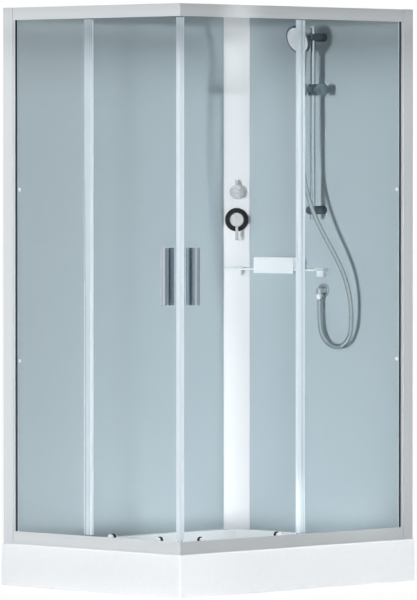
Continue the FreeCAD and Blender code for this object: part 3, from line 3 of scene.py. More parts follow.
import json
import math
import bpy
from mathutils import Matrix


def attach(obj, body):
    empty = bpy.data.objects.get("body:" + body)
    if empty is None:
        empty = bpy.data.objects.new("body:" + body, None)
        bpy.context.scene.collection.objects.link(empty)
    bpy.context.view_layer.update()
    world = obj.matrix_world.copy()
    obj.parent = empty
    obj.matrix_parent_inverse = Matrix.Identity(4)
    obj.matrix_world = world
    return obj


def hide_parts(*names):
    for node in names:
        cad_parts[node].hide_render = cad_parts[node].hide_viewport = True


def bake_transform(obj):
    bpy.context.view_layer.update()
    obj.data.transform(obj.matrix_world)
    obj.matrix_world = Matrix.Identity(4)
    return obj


bl_info = {
    "name": "Corner Shower Cabin",
    "version": (1, 0, 0),
    "blender": (4, 5, 0),
    "location": "3D View > Sidebar > Shower Cabin",
    "description": "Dresses the packed shower cabin and sets up its studio",
    "category": "Object",
}

import bpy
from bpy.props import FloatProperty, IntProperty, PointerProperty, StringProperty
from mathutils import Matrix, Vector

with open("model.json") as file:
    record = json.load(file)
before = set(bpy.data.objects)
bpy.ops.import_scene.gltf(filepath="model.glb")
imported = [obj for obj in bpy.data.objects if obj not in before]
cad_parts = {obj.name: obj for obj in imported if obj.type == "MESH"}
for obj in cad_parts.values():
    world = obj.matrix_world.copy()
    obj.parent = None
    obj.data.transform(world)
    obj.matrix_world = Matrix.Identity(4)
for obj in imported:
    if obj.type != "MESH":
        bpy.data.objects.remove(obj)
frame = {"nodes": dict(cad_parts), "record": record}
NODES = frame["nodes"]
SLOTS = {part["node"]: part["material_slot"] for part in frame["record"]["subparts"]}
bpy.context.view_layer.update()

# Route of the hose in metres, from the nut under the wall elbow to the nut of the hand shower
HOSE_ROUTE = (
    (0.5530, -0.0200, 1.0090),
    (0.5530, -0.0200, 0.9658),
    (0.5530, -0.0212, 0.9220),
    (0.5525, -0.0318, 0.8780),
    (0.5505, -0.0640, 0.8458),
    (0.5475, -0.1080, 0.8340),
    (0.5440, -0.1520, 0.8458),
    (0.5400, -0.1842, 0.8780),
    (0.5350, -0.1960, 0.9220),
    (0.5270, -0.2030, 0.9780),
    (0.5180, -0.2015, 1.0350),
    (0.5070, -0.1880, 1.0980),
    (0.4960, -0.1620, 1.1570),
    (0.4860, -0.1270, 1.2170),
    (0.4770, -0.0880, 1.2800),
    (0.4680, -0.0570, 1.3500),
    (0.4615, -0.0360, 1.4200),
    (0.4555, -0.0255, 1.4900),
    (0.4505, -0.0210, 1.5600),
    (0.4495, -0.0200, 1.6309),
    (0.4520, -0.0200, 1.6788),
)
# Height at which the hose is cut into a lower piece and an upper piece
HOSE_SPLIT_Z = 1.54

# The spray face's middle and the way the water leaves it
SPRAY_CENTRE = (0.43536, -0.02, 1.95338)
SPRAY_TILT = math.radians(22.0)
# A nozzle is a cone, with its tip as a share of its foot and its middle this far off the spray face
NOZZLE_SIDES = 12
NOZZLE_TIP_SHARE = 0.6
NOZZLE_LIFT = 0.001
# Turn from one nozzle to the next, which spreads them evenly over a disc
GOLDEN_ANGLE = math.pi * (3 - math.sqrt(5))

MM_PER_M = 1000.0
WHITE = (1.0, 1.0, 1.0, 1.0)
# Part of a noise's range in which nearly all of its values lie
NOISE_LOW = 0.3
NOISE_HIGH = 0.7
# How squarely a surface faces along a pane's thickness where the cut edge ends and the face begins
PANE_EDGE = 0.4
PANE_FACE = 0.6
# Shares of the light that clear pieces hold back
PANE_HOLDS_BACK = 0.08
SEAL_HOLDS_BACK = 0.06
# Near-black tints that mirrors turn to at a glancing angle: painted shade, dark edges standing in for dark
# surroundings mirrored there
CHROME_RIM = "#14181A"
PLATED_RIM = "#101416"
HOSE_RIM = "#0C0F10"

# Corners of a square, which the floor and the cards are stretched from
SQUARE = ((-1, -1), (1, -1), (1, 1), (-1, 1))
# The floor shows mostly as backdrop, and the rest of it keeps the shadow
FLOOR_COLOUR = "#F2F2F2"
FLOOR_ROUGHNESS = 0.9
FLOOR_GLOW = 1.04
FLOOR_GLOW_SHARE = 0.93
FLOOR_REACH = 60.0
FLOOR_Z = -0.001
CAMERA_REACH = 200.0
# Lamps: name, setting that holds the power, width and height, grid in degrees, place, and point aimed at
LAMPS = (
    ("key_light", "key", (1.9, 1.79), 9, (-2.75, -0.36, 1.015), (0.55, 0.0, 1.035)),
    ("fill_light", "fill", (2.0, 1.79), 9, (0.06, -3.8, 1.015), (-0.03, 0.4, 1.035)),
    ("top_light", "top", (1.3, 1.0), 15, (0.0, 0.0, 2.24), (0.0, 0.0, 0.0)),
    ("back_light", "back", (2.4, 2.0), 30, (2.6, 2.4, 1.1), (0.0, 0.0, 1.0)),
    ("left_low_light", "low", (1.3, 0.22), 5, (-2.6, 0.0, 1.47), (-0.6, 0.0, -0.02)),
    ("right_low_light", "low", (1.6, 0.22), 5, (0.0, -2.45, 1.47), (0.0, -0.45, -0.02)),
    ("column_top_light", "spot", (0.09, 0.3), 6, (-1.24, -1.39, 2.10), (0.53, 0.38, 2.05)),
    ("foot_light", "foot", (0.75, 0.14), 5, (-0.76, -1.76, 0.58), (0.53, 0.38, 0.12)),
    ("left_high_light", "high", (1.4, 0.06), 3, (-2.6, 0.0, 2.03), (-0.6, 0.0, 2.025)),
    ("right_high_light", "high", (1.4, 0.06), 3, (0.0, -2.45, 2.03), (0.0, -0.45, 2.025)),
)
# Cards: name, brightness, place, way it faces, half width, half height, and whether it keeps light off
CARDS = (
    ("top_flag", 0.02, (0, 0, 2.27), (0, 0, -1), 0.75, 0.6, True),
    ("right_flag", 0.5, (1.8, -2.2, 1.2), (-1, 1, 0), 1.8, 2.2, False),
    ("right_floor_flag", 0.5, (1.0, -2.0, 0.002), (0, 0, 1), 1.8, 1.5, False),
    ("left_floor_flag", 0.8, (-2.2, 1.0, 0.002), (0, 0, 1), 1.5, 1.8, False),
)
# Pieces so close to the lamps that their shadows would be blots on the far walls
SHADOWLESS = ("door_handles_left", "door_handles_right")


class CabinColours(bpy.types.PropertyGroup):
    """Colours as sRGB hex values."""

    acrylic: StringProperty(name="Tray acrylic", description="White of the tray", default="#F6F5F6")
    column: StringProperty(name="Column", description="White of the corner column", default="#F7F4F7")
    plastic: StringProperty(
        name="White plastic", description="Caps, spray face and roller mounts", default="#F6F4F8")
    bin: StringProperty(name="Bin", description="White of the shelf bin", default="#F3F2F5")
    wall: StringProperty(name="Back walls", description="Pale blue-grey of the walls", default="#A9B3B9")
    aluminium: StringProperty(name="Aluminium", description="Anodised rails", default="#DADEE1")
    upright: StringProperty(name="Uprights", description="Anodised wall profiles", default="#DADEE1")
    glass: StringProperty(name="Glass", description="Tint of the panes", default="#F4FAFA")
    glass_edge: StringProperty(
        name="Glass edge", description="Tint of a pane's cut edge", default="#9CC4BC")
    seal: StringProperty(name="Clear seals", description="Soft clear plastic", default="#DDE3E9")
    rubber: StringProperty(name="Rubber", description="Dark gaskets and stops", default="#2C3136")
    chrome: StringProperty(name="Chrome", description="Polished fittings", default="#C8CDD2")
    # Dark grey plating: painted shade that stands in for dark surroundings mirrored in it
    plated: StringProperty(
        name="Plated plastic", description="Hand shower and rail brackets", default="#6F7B81")
    # Dark grey of the slider pieces: painted shade that stands in for dark surroundings mirrored in their
    # plate
    slider: StringProperty(name="Slider", description="Slider, clamp knob and holder", default="#66767D")
    brushed: StringProperty(name="Satin chrome", description="Diverter and mixer handle", default="#D4D1D4")
    handle: StringProperty(name="Brushed chrome", description="Door handles", default="#BFC8D0")
    satin: StringProperty(name="Satin plate", description="Shelf clips and elbow nut", default="#F2F1F5")
    shelf: StringProperty(name="Shelf glass", description="Glass shelf and its edge", default="#F3F9F9")
    hose: StringProperty(name="Hose", description="Silver hose", default="#BCC3C7")
    brass: StringProperty(name="Brass", description="Valve body", default="#B8963E")
    black: StringProperty(name="Black plastic", description="Rosette and wheels", default="#16181A")
    grey: StringProperty(name="Grey plastic", description="Drain trap", default="#C3C8CB")
    zinc: StringProperty(name="Zinc", description="Support frame and feet", default="#9DA2A6")
    nozzle: StringProperty(name="Nozzles", description="Soft spray nozzles", default="#AEB6BC")


class CabinSizes(bpy.types.PropertyGroup):
    """Sizes of the pieces made here."""

    hose_diameter: FloatProperty(
        name="Hose diameter", description="Outside of the hose", default=0.016, unit="LENGTH")
    hose_sides: IntProperty(name="Hose sides", description="Faces round the hose", default=24)
    hose_steps: IntProperty(name="Hose steps", description="Curve steps between route points", default=10)
    nozzle_count: IntProperty(name="Nozzles", description="Nozzles on the spray face", default=72)
    nozzle_radius: FloatProperty(
        name="Nozzle radius", description="Foot of one nozzle", default=0.0016, unit="LENGTH")
    nozzle_height: FloatProperty(
        name="Nozzle height", description="How far a nozzle stands out", default=0.0016, unit="LENGTH")
    nozzle_field: FloatProperty(
        name="Nozzle field", description="Radius that the nozzles cover", default=0.040, unit="LENGTH")


class CabinStudio(bpy.types.PropertyGroup):
    """Camera and light."""

    camera_azimuth: FloatProperty(
        name="Camera azimuth", description="Turn round the cabin", default=math.radians(-45.4424),
        unit="ROTATION")
    camera_pitch: FloatProperty(
        name="Camera pitch", description="Downward tilt", default=math.radians(1.413), unit="ROTATION")
    camera_x: FloatProperty(name="Camera X", description="Camera place", default=-14.3526, unit="LENGTH")
    camera_y: FloatProperty(name="Camera Y", description="Camera place", default=-14.1289, unit="LENGTH")
    camera_z: FloatProperty(name="Camera Z", description="Camera height", default=1.5125, unit="LENGTH")
    lens: FloatProperty(
        name="Lens", description="Focal length in millimetres", default=336.94, unit="CAMERA")
    sky: FloatProperty(name="Soft light", description="Strength of the light from all round", default=0.28)
    sky_tint: StringProperty(
        name="Soft light tint", description="Colour of the light from all round", default="#E6F9FF")
    key: FloatProperty(
        name="Key light", description="Light from the left, in watts", default=9.7, unit="POWER")
    fill: FloatProperty(
        name="Fill light", description="Light from the right, in watts", default=10.0, unit="POWER")
    top: FloatProperty(
        name="Top light", description="Light from above, in watts", default=3.3, unit="POWER")
    back: FloatProperty(
        name="Back light", description="Light on the walls' backs, in watts", default=9.0, unit="POWER")
    spot: FloatProperty(
        name="Column top light", description="Light on the column's top, in watts", default=0.12,
        unit="POWER")
    foot: FloatProperty(
        name="Foot light", description="Light on the foot of the column and the walls, in watts",
        default=0.26, unit="POWER")
    high: FloatProperty(
        name="High lights", description="Each light on the top rails, in watts", default=0.14,
        unit="POWER")
    low: FloatProperty(
        name="Low lights", description="Each light on the tray, in watts", default=0.46, unit="POWER")


def add_node(tree, kind, inputs=None, **settings):
    """Add one node, set its properties, and set or link its inputs."""
    node = tree.nodes.new(kind)
    for name, value in settings.items():
        setattr(node, name, value)
    for name, value in (inputs or {}).items():
        if isinstance(value, bpy.types.NodeSocket):
            tree.links.new(value, node.inputs[name])
        else:
            node.inputs[name].default_value = value
    return node


def linear(code):
    """sRGB hex to linear RGBA."""
    channels = [int(code[i:i + 2], 16) / 255 for i in (1, 3, 5)]
    return tuple(c / 12.92 if c <= 0.04045 else ((c + 0.055) / 1.055) ** 2.4 for c in channels) + (1.0,)


def shaded(colour, share):
    """A linear colour made darker or lighter by a share."""
    return tuple(min(1.0, c * share) for c in colour[:3]) + (1.0,)


def new_finish(name, sockets):
    """Material with one Principled shader; even values go straight on its sockets."""
    material = bpy.data.materials.new(name)
    material.use_nodes = True
    shader = material.node_tree.nodes["Principled BSDF"]
    for socket, value in sockets.items():
        shader.inputs[socket].default_value = value
    return material


def grain(material, colour, grain_mm, stretch=(1, 1, 1), spread=0.05, roughness=(0.2, 0.3), relief_mm=0.0):
    """Uneven tone, gloss and relief from one noise whose grain has a real size in millimetres."""
    tree = material.node_tree
    shader = tree.nodes["Principled BSDF"]
    place = add_node(tree, "ShaderNodeTexCoord")
    turn = add_node(tree, "ShaderNodeMapping", {"Vector": place.outputs["Object"], "Scale": stretch})
    noise = add_node(tree, "ShaderNodeTexNoise", {
        "Vector": turn.outputs["Vector"], "Scale": MM_PER_M / grain_mm, "Detail": 3.0})
    tone = add_node(tree, "ShaderNodeValToRGB", {"Fac": noise.outputs["Fac"]})
    tone.color_ramp.elements[0].position = NOISE_LOW
    tone.color_ramp.elements[0].color = shaded(colour, 1.0 - spread)
    tone.color_ramp.elements[1].position = NOISE_HIGH
    tone.color_ramp.elements[1].color = shaded(colour, 1.0 + spread)
    tree.links.new(tone.outputs["Color"], shader.inputs["Base Color"])
    gloss = add_node(tree, "ShaderNodeMapRange", {
        "Value": noise.outputs["Fac"], "From Min": NOISE_LOW, "From Max": NOISE_HIGH,
        "To Min": roughness[0], "To Max": roughness[1]})
    tree.links.new(gloss.outputs["Result"], shader.inputs["Roughness"])
    if relief_mm:
        bump = add_node(tree, "ShaderNodeBump", {
            "Height": noise.outputs["Fac"], "Distance": relief_mm / MM_PER_M, "Strength": 1.0})
        tree.links.new(bump.outputs["Normal"], shader.inputs["Normal"])
    return material


def let_light_through(material, held_back):
    """Let the lamps and the soft light pass a clear piece, apart from the share that it holds back."""
    tree = material.node_tree
    ray = add_node(tree, "ShaderNodeLightPath")
    lit = add_node(tree, "ShaderNodeMath", {
        0: ray.outputs["Is Shadow Ray"], 1: ray.outputs["Is Diffuse Ray"]}, operation="MAXIMUM")
    solid = add_node(tree, "ShaderNodeMapRange", {
        "Value": lit.outputs["Value"], "To Min": 1.0, "To Max": held_back})
    tree.links.new(solid.outputs["Result"], tree.nodes["Principled BSDF"].inputs["Alpha"])
    return material


def glass_finish(name, colour, edge, thickness_axis, ior):
    """Toughened float glass: clear through its faces, green where a cut edge shows."""
    material = new_finish(name, {
        "Roughness": 0.0, "IOR": ior, "Transmission Weight": 1.0})
    tree = material.node_tree
    shader = tree.nodes["Principled BSDF"]
    place = add_node(tree, "ShaderNodeTexCoord")
    split = add_node(tree, "ShaderNodeSeparateXYZ", {"Vector": place.outputs["Normal"]})
    facing = add_node(tree, "ShaderNodeMath", {0: split.outputs[thickness_axis]}, operation="ABSOLUTE")
    tint = add_node(tree, "ShaderNodeValToRGB", {"Fac": facing.outputs["Value"]})
    tint.color_ramp.elements[0].position = PANE_EDGE
    tint.color_ramp.elements[0].color = edge
    tint.color_ramp.elements[1].position = PANE_FACE
    tint.color_ramp.elements[1].color = colour
    tree.links.new(tint.outputs["Color"], shader.inputs["Base Color"])
    return let_light_through(material, PANE_HOLDS_BACK)


def make_finishes(colours):
    """All finishes, keyed by the name that the dressing uses."""
    tone = {key: linear(getattr(colours, key)) for key in colours.bl_rna.properties.keys()
            if key not in ("rna_type", "name")}
    finishes = {}
    # Vacuum-formed sanitary acrylic: bright white with a soft gloss and a faint orange-peel
    finishes["acrylic"] = grain(
        new_finish("sanitary_acrylic", {"IOR": 1.49, "Coat Weight": 0.3, "Coat Roughness": 0.08}),
        tone["acrylic"], 18.0, spread=0.012, roughness=(0.16, 0.24), relief_mm=0.05)
    # Extruded gloss PVC: flat white that mirrors its neighbours softly
    finishes["column"] = grain(
        new_finish("gloss_pvc", {"IOR": 1.53}), tone["column"], 60.0, (1, 1, 0.1),
        spread=0.01, roughness=(0.10, 0.18))
    # Moulded white plastic: matt white with a fine moulding texture, which the bin has in its own white
    finishes["plastic"] = grain(
        new_finish("moulded_white", {"IOR": 1.5}), tone["plastic"], 6.0,
        spread=0.01, roughness=(0.25, 0.35), relief_mm=0.01)
    finishes["bin"] = grain(
        new_finish("moulded_bin", {"IOR": 1.5}), tone["bin"], 6.0,
        spread=0.01, roughness=(0.25, 0.35), relief_mm=0.01)
    # Gloss wall sheet, colour behind a clear face: even tone with a slight cloudiness
    finishes["wall"] = grain(
        new_finish("gloss_wall_sheet", {"IOR": 1.5, "Specular IOR Level": 0.2}),
        tone["wall"], 420.0, spread=0.005, roughness=(0.20, 0.24))
    # Anodised extrusions: satin metal with fine lines along the pull
    for axis, pull, stretch in (
            ("X", "aluminium", (0.01, 1, 1)),
            ("Y", "aluminium", (1, 0.01, 1)),
            ("Z", "upright", (1, 1, 0.01))):
        finishes["aluminium_" + axis] = grain(
            new_finish("anodised_aluminium_" + axis.lower(), {"Metallic": 0.7}),
            tone[pull], 4.0, stretch, spread=0.02, roughness=(0.30, 0.40), relief_mm=0.01)
    # Toughened panes: clear with faint reflections, which are strongest on the left fixed pane. The IOR is
    # below that of bare glass, to keep them faint
    for pane, axis, ior in (
            ("left_pane", "X", 1.35),
            ("left_door", "X", 1.18),
            ("right_panes", "Y", 1.18)):
        finishes[pane] = glass_finish(
            "toughened_glass_" + pane, tone["glass"], tone["glass_edge"], axis, ior)
    # Soft clear vinyl: lets light through but blurs it, with a milky body and ribs along the pull
    finishes["seal"] = let_light_through(grain(
        new_finish("clear_vinyl", {"IOR": 1.45, "Transmission Weight": 0.4}), tone["seal"], 11.0,
        (1, 1, 0.004), spread=0.14, roughness=(0.26, 0.34)), SEAL_HOLDS_BACK)
    # Dense rubber: dark and dull
    finishes["rubber"] = grain(
        new_finish("dense_rubber", {"Specular IOR Level": 0.3}), tone["rubber"], 3.0,
        spread=0.1, roughness=(0.55, 0.7), relief_mm=0.02)
    # Bright chrome plate: mirror that darkens towards its edges, by painted shade from its near-black edge
    # tint
    finishes["chrome"] = grain(
        new_finish("bright_chrome", {"Metallic": 1.0, "Specular Tint": linear(CHROME_RIM)}),
        tone["chrome"], 9.0, spread=0.015, roughness=(0.05, 0.10))
    # Chrome on moulded plastic: a little softer than on metal. Its dark grey body and near-black edge tint
    # are painted shade, standing in for dark surroundings mirrored in it
    finishes["plated"] = grain(
        new_finish("chrome_on_plastic", {"Metallic": 1.0, "Specular Tint": linear(PLATED_RIM)}),
        tone["plated"], 12.0, spread=0.02, roughness=(0.08, 0.15))
    # Satin plate on moulded plastic: grey body with a soft sheen, drawn dark grey as painted shade that
    # stands in for dark surroundings mirrored in it
    finishes["slider"] = grain(
        new_finish("dark_plate_on_plastic", {"Metallic": 0.3}), tone["slider"], 8.0,
        spread=0.02, roughness=(0.30, 0.40))
    # Satin chrome: grey metal that blurs what it mirrors
    finishes["brushed"] = grain(
        new_finish("satin_chrome", {"Metallic": 0.6}), tone["brushed"], 8.0,
        spread=0.02, roughness=(0.22, 0.28))
    # Chrome brushed lengthwise: light and dark lines along a handle, drawn coarser than real to show. Their
    # strong light and dark are partly brushing and partly painted reflection, standing in for mirrored
    # streaks of light
    finishes["handle"] = grain(
        new_finish("brushed_chrome", {"Metallic": 1.0}), tone["handle"], 20.0, (1, 1, 0.002),
        spread=0.5, roughness=(0.22, 0.30))
    # Satin-plated clips: light metal with a soft sheen
    finishes["satin"] = grain(
        new_finish("satin_plate", {"Metallic": 0.25}), tone["satin"], 5.0,
        spread=0.02, roughness=(0.35, 0.45))
    # Clear shelf glass whose ground edge gathers the light
    finishes["shelf"] = grain(
        new_finish("shelf_glass", {"IOR": 1.5, "Transmission Weight": 0.1}), tone["shelf"], 40.0,
        spread=0.01, roughness=(0.12, 0.18))
    # Silver hose skin under a clear sleeve: bright along the middle, and dark along both edges by painted
    # shade from its near-black edge tint
    finishes["hose"] = grain(
        new_finish("silver_hose", {"Metallic": 1.0, "Specular Tint": linear(HOSE_RIM)}),
        tone["hose"], 3.0, spread=0.03, roughness=(0.12, 0.18))
    # Cast brass: yellow metal with a slightly rough skin
    finishes["brass"] = grain(
        new_finish("cast_brass", {"Metallic": 1.0}), tone["brass"], 2.0,
        spread=0.08, roughness=(0.3, 0.5), relief_mm=0.03)
    # Satin black plastic: deep black with little shine
    finishes["black"] = grain(
        new_finish("satin_black", {"IOR": 1.5, "Specular IOR Level": 0.15}), tone["black"], 3.0,
        spread=0.15, roughness=(0.4, 0.5), relief_mm=0.01)
    # Moulded grey plastic: dull and even
    finishes["grey"] = grain(
        new_finish("moulded_grey", {"IOR": 1.5}), tone["grey"], 5.0,
        spread=0.03, roughness=(0.35, 0.5), relief_mm=0.02)
    # Zinc-plated steel: dull metal with a faint spangle
    finishes["zinc"] = grain(
        new_finish("zinc_plated_steel", {"Metallic": 0.9}), tone["zinc"], 15.0,
        spread=0.15, roughness=(0.35, 0.55))
    # Soft silicone: grey and dull
    finishes["nozzle"] = grain(
        new_finish("soft_silicone", {"IOR": 1.43}), tone["nozzle"], 2.0,
        spread=0.05, roughness=(0.4, 0.5))
    return finishes


# Finish by the CAD node's material slot, and by its own name where it differs from that
SLOT_FINISH = {
    "white_acrylic": "acrylic", "white_plastic": "plastic", "wall_panel": "wall", "clear_seal": "seal",
    "dark_rubber": "rubber", "chrome": "chrome", "chromed_plastic": "plated", "brass": "brass",
    "black_plastic": "black", "grey_plastic": "grey", "galvanised_steel": "zinc",
}
NODE_FINISH = {
    "corner_column": "column",
    "top_rail_left": "aluminium_Y", "bottom_rail_left": "aluminium_Y",
    "top_rail_right": "aluminium_X", "bottom_rail_right": "aluminium_X",
    "wall_profile_left": "aluminium_Z", "wall_profile_right": "aluminium_Z",
    "rail_corner_brackets": "aluminium_Z",
    "fixed_panel_left": "left_pane", "door_glass_left": "left_door",
    "fixed_panel_right": "right_panes", "door_glass_right": "right_panes", "shelf_glass": "shelf",
    "shelf_clips": "satin", "roller_mounts_left": "plastic", "roller_mounts_right": "plastic",
    "elbow_hose_nut": "satin", "rail_brackets": "plated", "shelf_bin": "bin",
    "diverter_knob": "brushed", "mixer_handle": "brushed",
    "door_handles_left": "handle", "door_handles_right": "handle",
    "rail_slider": "slider", "slider_clamp_knob": "slider", "handset_holder": "slider",
}


def finish_of(node):
    """Finish name of a CAD node."""
    return NODE_FINISH.get(node) or SLOT_FINISH[SLOTS[node]]


def finish_material(name):
    """Made finish by its key."""
    return bpy.data.materials[bpy.context.scene["cabin_finish_" + name]]


def mesh_object(name, points, faces, material):
    """Object at the origin from points and faces, with smooth shading."""
    mesh = bpy.data.meshes.new(name)
    mesh.from_pydata(points, [], faces)
    mesh.materials.append(material)
    mesh.shade_smooth()
    piece = bpy.data.objects.new(name, mesh)
    bpy.context.scene.collection.objects.link(piece)
    return piece


def route_line(route, steps):
    """Points of the smooth NURBS line that the route controls."""
    curve = bpy.data.curves.new("hose_line", "CURVE")
    curve.dimensions = "3D"
    curve.resolution_u = steps
    spline = curve.splines.new("NURBS")
    spline.points.add(len(route) - 1)
    for point, place in zip(spline.points, route):
        point.co = (*place, 1.0)
    spline.order_u = 3
    spline.use_endpoint_u = True
    holder = bpy.data.objects.new("hose_line", curve)
    bpy.context.scene.collection.objects.link(holder)
    bpy.context.view_layer.update()
    line = bpy.data.meshes.new_from_object(holder.evaluated_get(bpy.context.evaluated_depsgraph_get()))
    points = [vertex.co.copy() for vertex in line.vertices]
    bpy.data.objects.remove(holder)
    bpy.data.curves.remove(curve)
    bpy.data.meshes.remove(line)
    return points


def tube_rings(points, radius, sides):
    """Rings of points round a line, carried along it without twist."""
    rings = []
    across = Vector((0, 1, 0))
    for index, point in enumerate(points):
        before = points[max(index - 1, 0)]
        after = points[min(index + 1, len(points) - 1)]
        ahead = (after - before).normalized()
        across = (across - ahead * across.dot(ahead)).normalized()
        up = ahead.cross(across)
        rings.append([
            point + (across * math.cos(turn) + up * math.sin(turn)) * radius
            for turn in (2 * math.pi * side / sides for side in range(sides))])
    return rings


def tube_piece(name, rings, material):
    """Closed tube through rings."""
    sides = len(rings[0])
    points = [corner for ring in rings for corner in ring]
    faces = []
    for step in range(len(rings) - 1):
        low = step * sides
        high = low + sides
        for side in range(sides):
            following = (side + 1) % sides
            faces.append((low + side, low + following, high + following, high + side))
    faces.append(tuple(reversed(range(sides))))
    faces.append(tuple(range(len(points) - sides, len(points))))
    return mesh_object(name, points, faces, material)


class SHOWERCABIN_OT_finishes(bpy.types.Operator):
    """Make the finishes and put them on the CAD pieces"""

    bl_idname = "shower_cabin.finishes"
    bl_label = "Finishes"

    def execute(self, context):
        scene = context.scene
        finishes = make_finishes(scene.cabin_colours)
        for key, material in finishes.items():
            scene["cabin_finish_" + key] = material.name
        for name, node in NODES.items():
            node.data.materials.clear()
            node.data.materials.append(finishes[finish_of(name)])
        return {"FINISHED"}


class SHOWERCABIN_OT_hose(bpy.types.Operator):
    """Lay the hose from the wall elbow to the hand shower"""

    bl_idname = "shower_cabin.hose"
    bl_label = "Hose"

    def execute(self, context):
        sizes = context.scene.cabin_sizes
        points = route_line(HOSE_ROUTE, sizes.hose_steps)
        rings = tube_rings(points, sizes.hose_diameter / 2, sizes.hose_sides)
        split = next(i for i in range(len(points) - 1, 0, -1) if points[i].z < HOSE_SPLIT_Z)
        material = finish_material("hose")
        lower = tube_piece("hose", rings[:split + 1], material)
        upper = tube_piece("hose_top", rings[split:], material)
        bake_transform(lower)
        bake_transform(upper)
        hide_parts("shower_hose")
        return {"FINISHED"}


class SHOWERCABIN_OT_spray_nozzles(bpy.types.Operator):
    """Set soft nozzles into the spray face"""

    bl_idname = "shower_cabin.spray_nozzles"
    bl_label = "Spray nozzles"

    def execute(self, context):
        tree, values = self.make_field(context.scene.cabin_sizes)
        maker = mesh_object("nozzle_maker", [], [], finish_material("nozzle"))
        field = maker.modifiers.new("nozzle_field", "NODES")
        field.node_group = tree
        for identifier, value in values.items():
            field[identifier] = value
        context.view_layer.update()
        mesh = bpy.data.meshes.new_from_object(maker.evaluated_get(context.evaluated_depsgraph_get()))
        bpy.data.objects.remove(maker)
        lean = Matrix.Rotation(-math.pi / 2 - SPRAY_TILT, 4, "Y")
        mesh.transform(Matrix.Translation(SPRAY_CENTRE) @ lean @ Matrix.Translation((0, 0, NOZZLE_LIFT)))
        piece = bpy.data.objects.new("spray_nozzles", mesh)
        context.scene.collection.objects.link(piece)
        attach(piece, "holder")
        return {"FINISHED"}

    def make_field(self, sizes):
        """Node tree that spreads cones over a disc, and the values of its inputs by identifier."""
        tree = bpy.data.node_groups.new("nozzle_field", "GeometryNodeTree")
        sockets = tree.interface
        sockets.new_socket("Geometry", in_out="INPUT", socket_type="NodeSocketGeometry")
        values = {}
        for label, kind, value in (
                ("Count", "NodeSocketInt", sizes.nozzle_count),
                ("Field", "NodeSocketFloat", sizes.nozzle_field),
                ("Radius", "NodeSocketFloat", sizes.nozzle_radius),
                ("Height", "NodeSocketFloat", sizes.nozzle_height)):
            values[sockets.new_socket(label, in_out="INPUT", socket_type=kind).identifier] = value
        sockets.new_socket("Geometry", in_out="OUTPUT", socket_type="NodeSocketGeometry")
        given = add_node(tree, "NodeGroupInput").outputs
        number = add_node(tree, "GeometryNodeInputIndex")
        share = add_node(tree, "ShaderNodeMath", {0: number.outputs["Index"], 1: given["Count"]},
                         operation="DIVIDE")
        root = add_node(tree, "ShaderNodeMath", {0: share.outputs["Value"]}, operation="SQRT")
        reach = add_node(tree, "ShaderNodeMath", {0: root.outputs["Value"], 1: given["Field"]},
                         operation="MULTIPLY")
        turn = add_node(tree, "ShaderNodeMath", {0: number.outputs["Index"], 1: GOLDEN_ANGLE},
                        operation="MULTIPLY")
        cosine = add_node(tree, "ShaderNodeMath", {0: turn.outputs["Value"]}, operation="COSINE")
        sine = add_node(tree, "ShaderNodeMath", {0: turn.outputs["Value"]}, operation="SINE")
        x = add_node(tree, "ShaderNodeMath", {0: cosine.outputs["Value"], 1: reach.outputs["Value"]},
                     operation="MULTIPLY")
        y = add_node(tree, "ShaderNodeMath", {0: sine.outputs["Value"], 1: reach.outputs["Value"]},
                     operation="MULTIPLY")
        place = add_node(tree, "ShaderNodeCombineXYZ", {"X": x.outputs["Value"], "Y": y.outputs["Value"]})
        dots = add_node(tree, "GeometryNodePoints", {
            "Count": given["Count"], "Position": place.outputs["Vector"]})
        tip = add_node(tree, "ShaderNodeMath", {0: given["Radius"], 1: NOZZLE_TIP_SHARE},
                       operation="MULTIPLY")
        cone = add_node(tree, "GeometryNodeMeshCone", {
            "Vertices": NOZZLE_SIDES, "Radius Bottom": given["Radius"], "Radius Top": tip.outputs["Value"],
            "Depth": given["Height"]})
        copies = add_node(tree, "GeometryNodeInstanceOnPoints", {
            "Points": dots.outputs["Points"], "Instance": cone.outputs["Mesh"]})
        real = add_node(tree, "GeometryNodeRealizeInstances", {"Geometry": copies.outputs["Instances"]})
        coat = add_node(tree, "GeometryNodeSetMaterial", {
            "Geometry": real.outputs["Geometry"], "Material": finish_material("nozzle")})
        add_node(tree, "NodeGroupOutput", {"Geometry": coat.outputs["Geometry"]})
        return tree, values


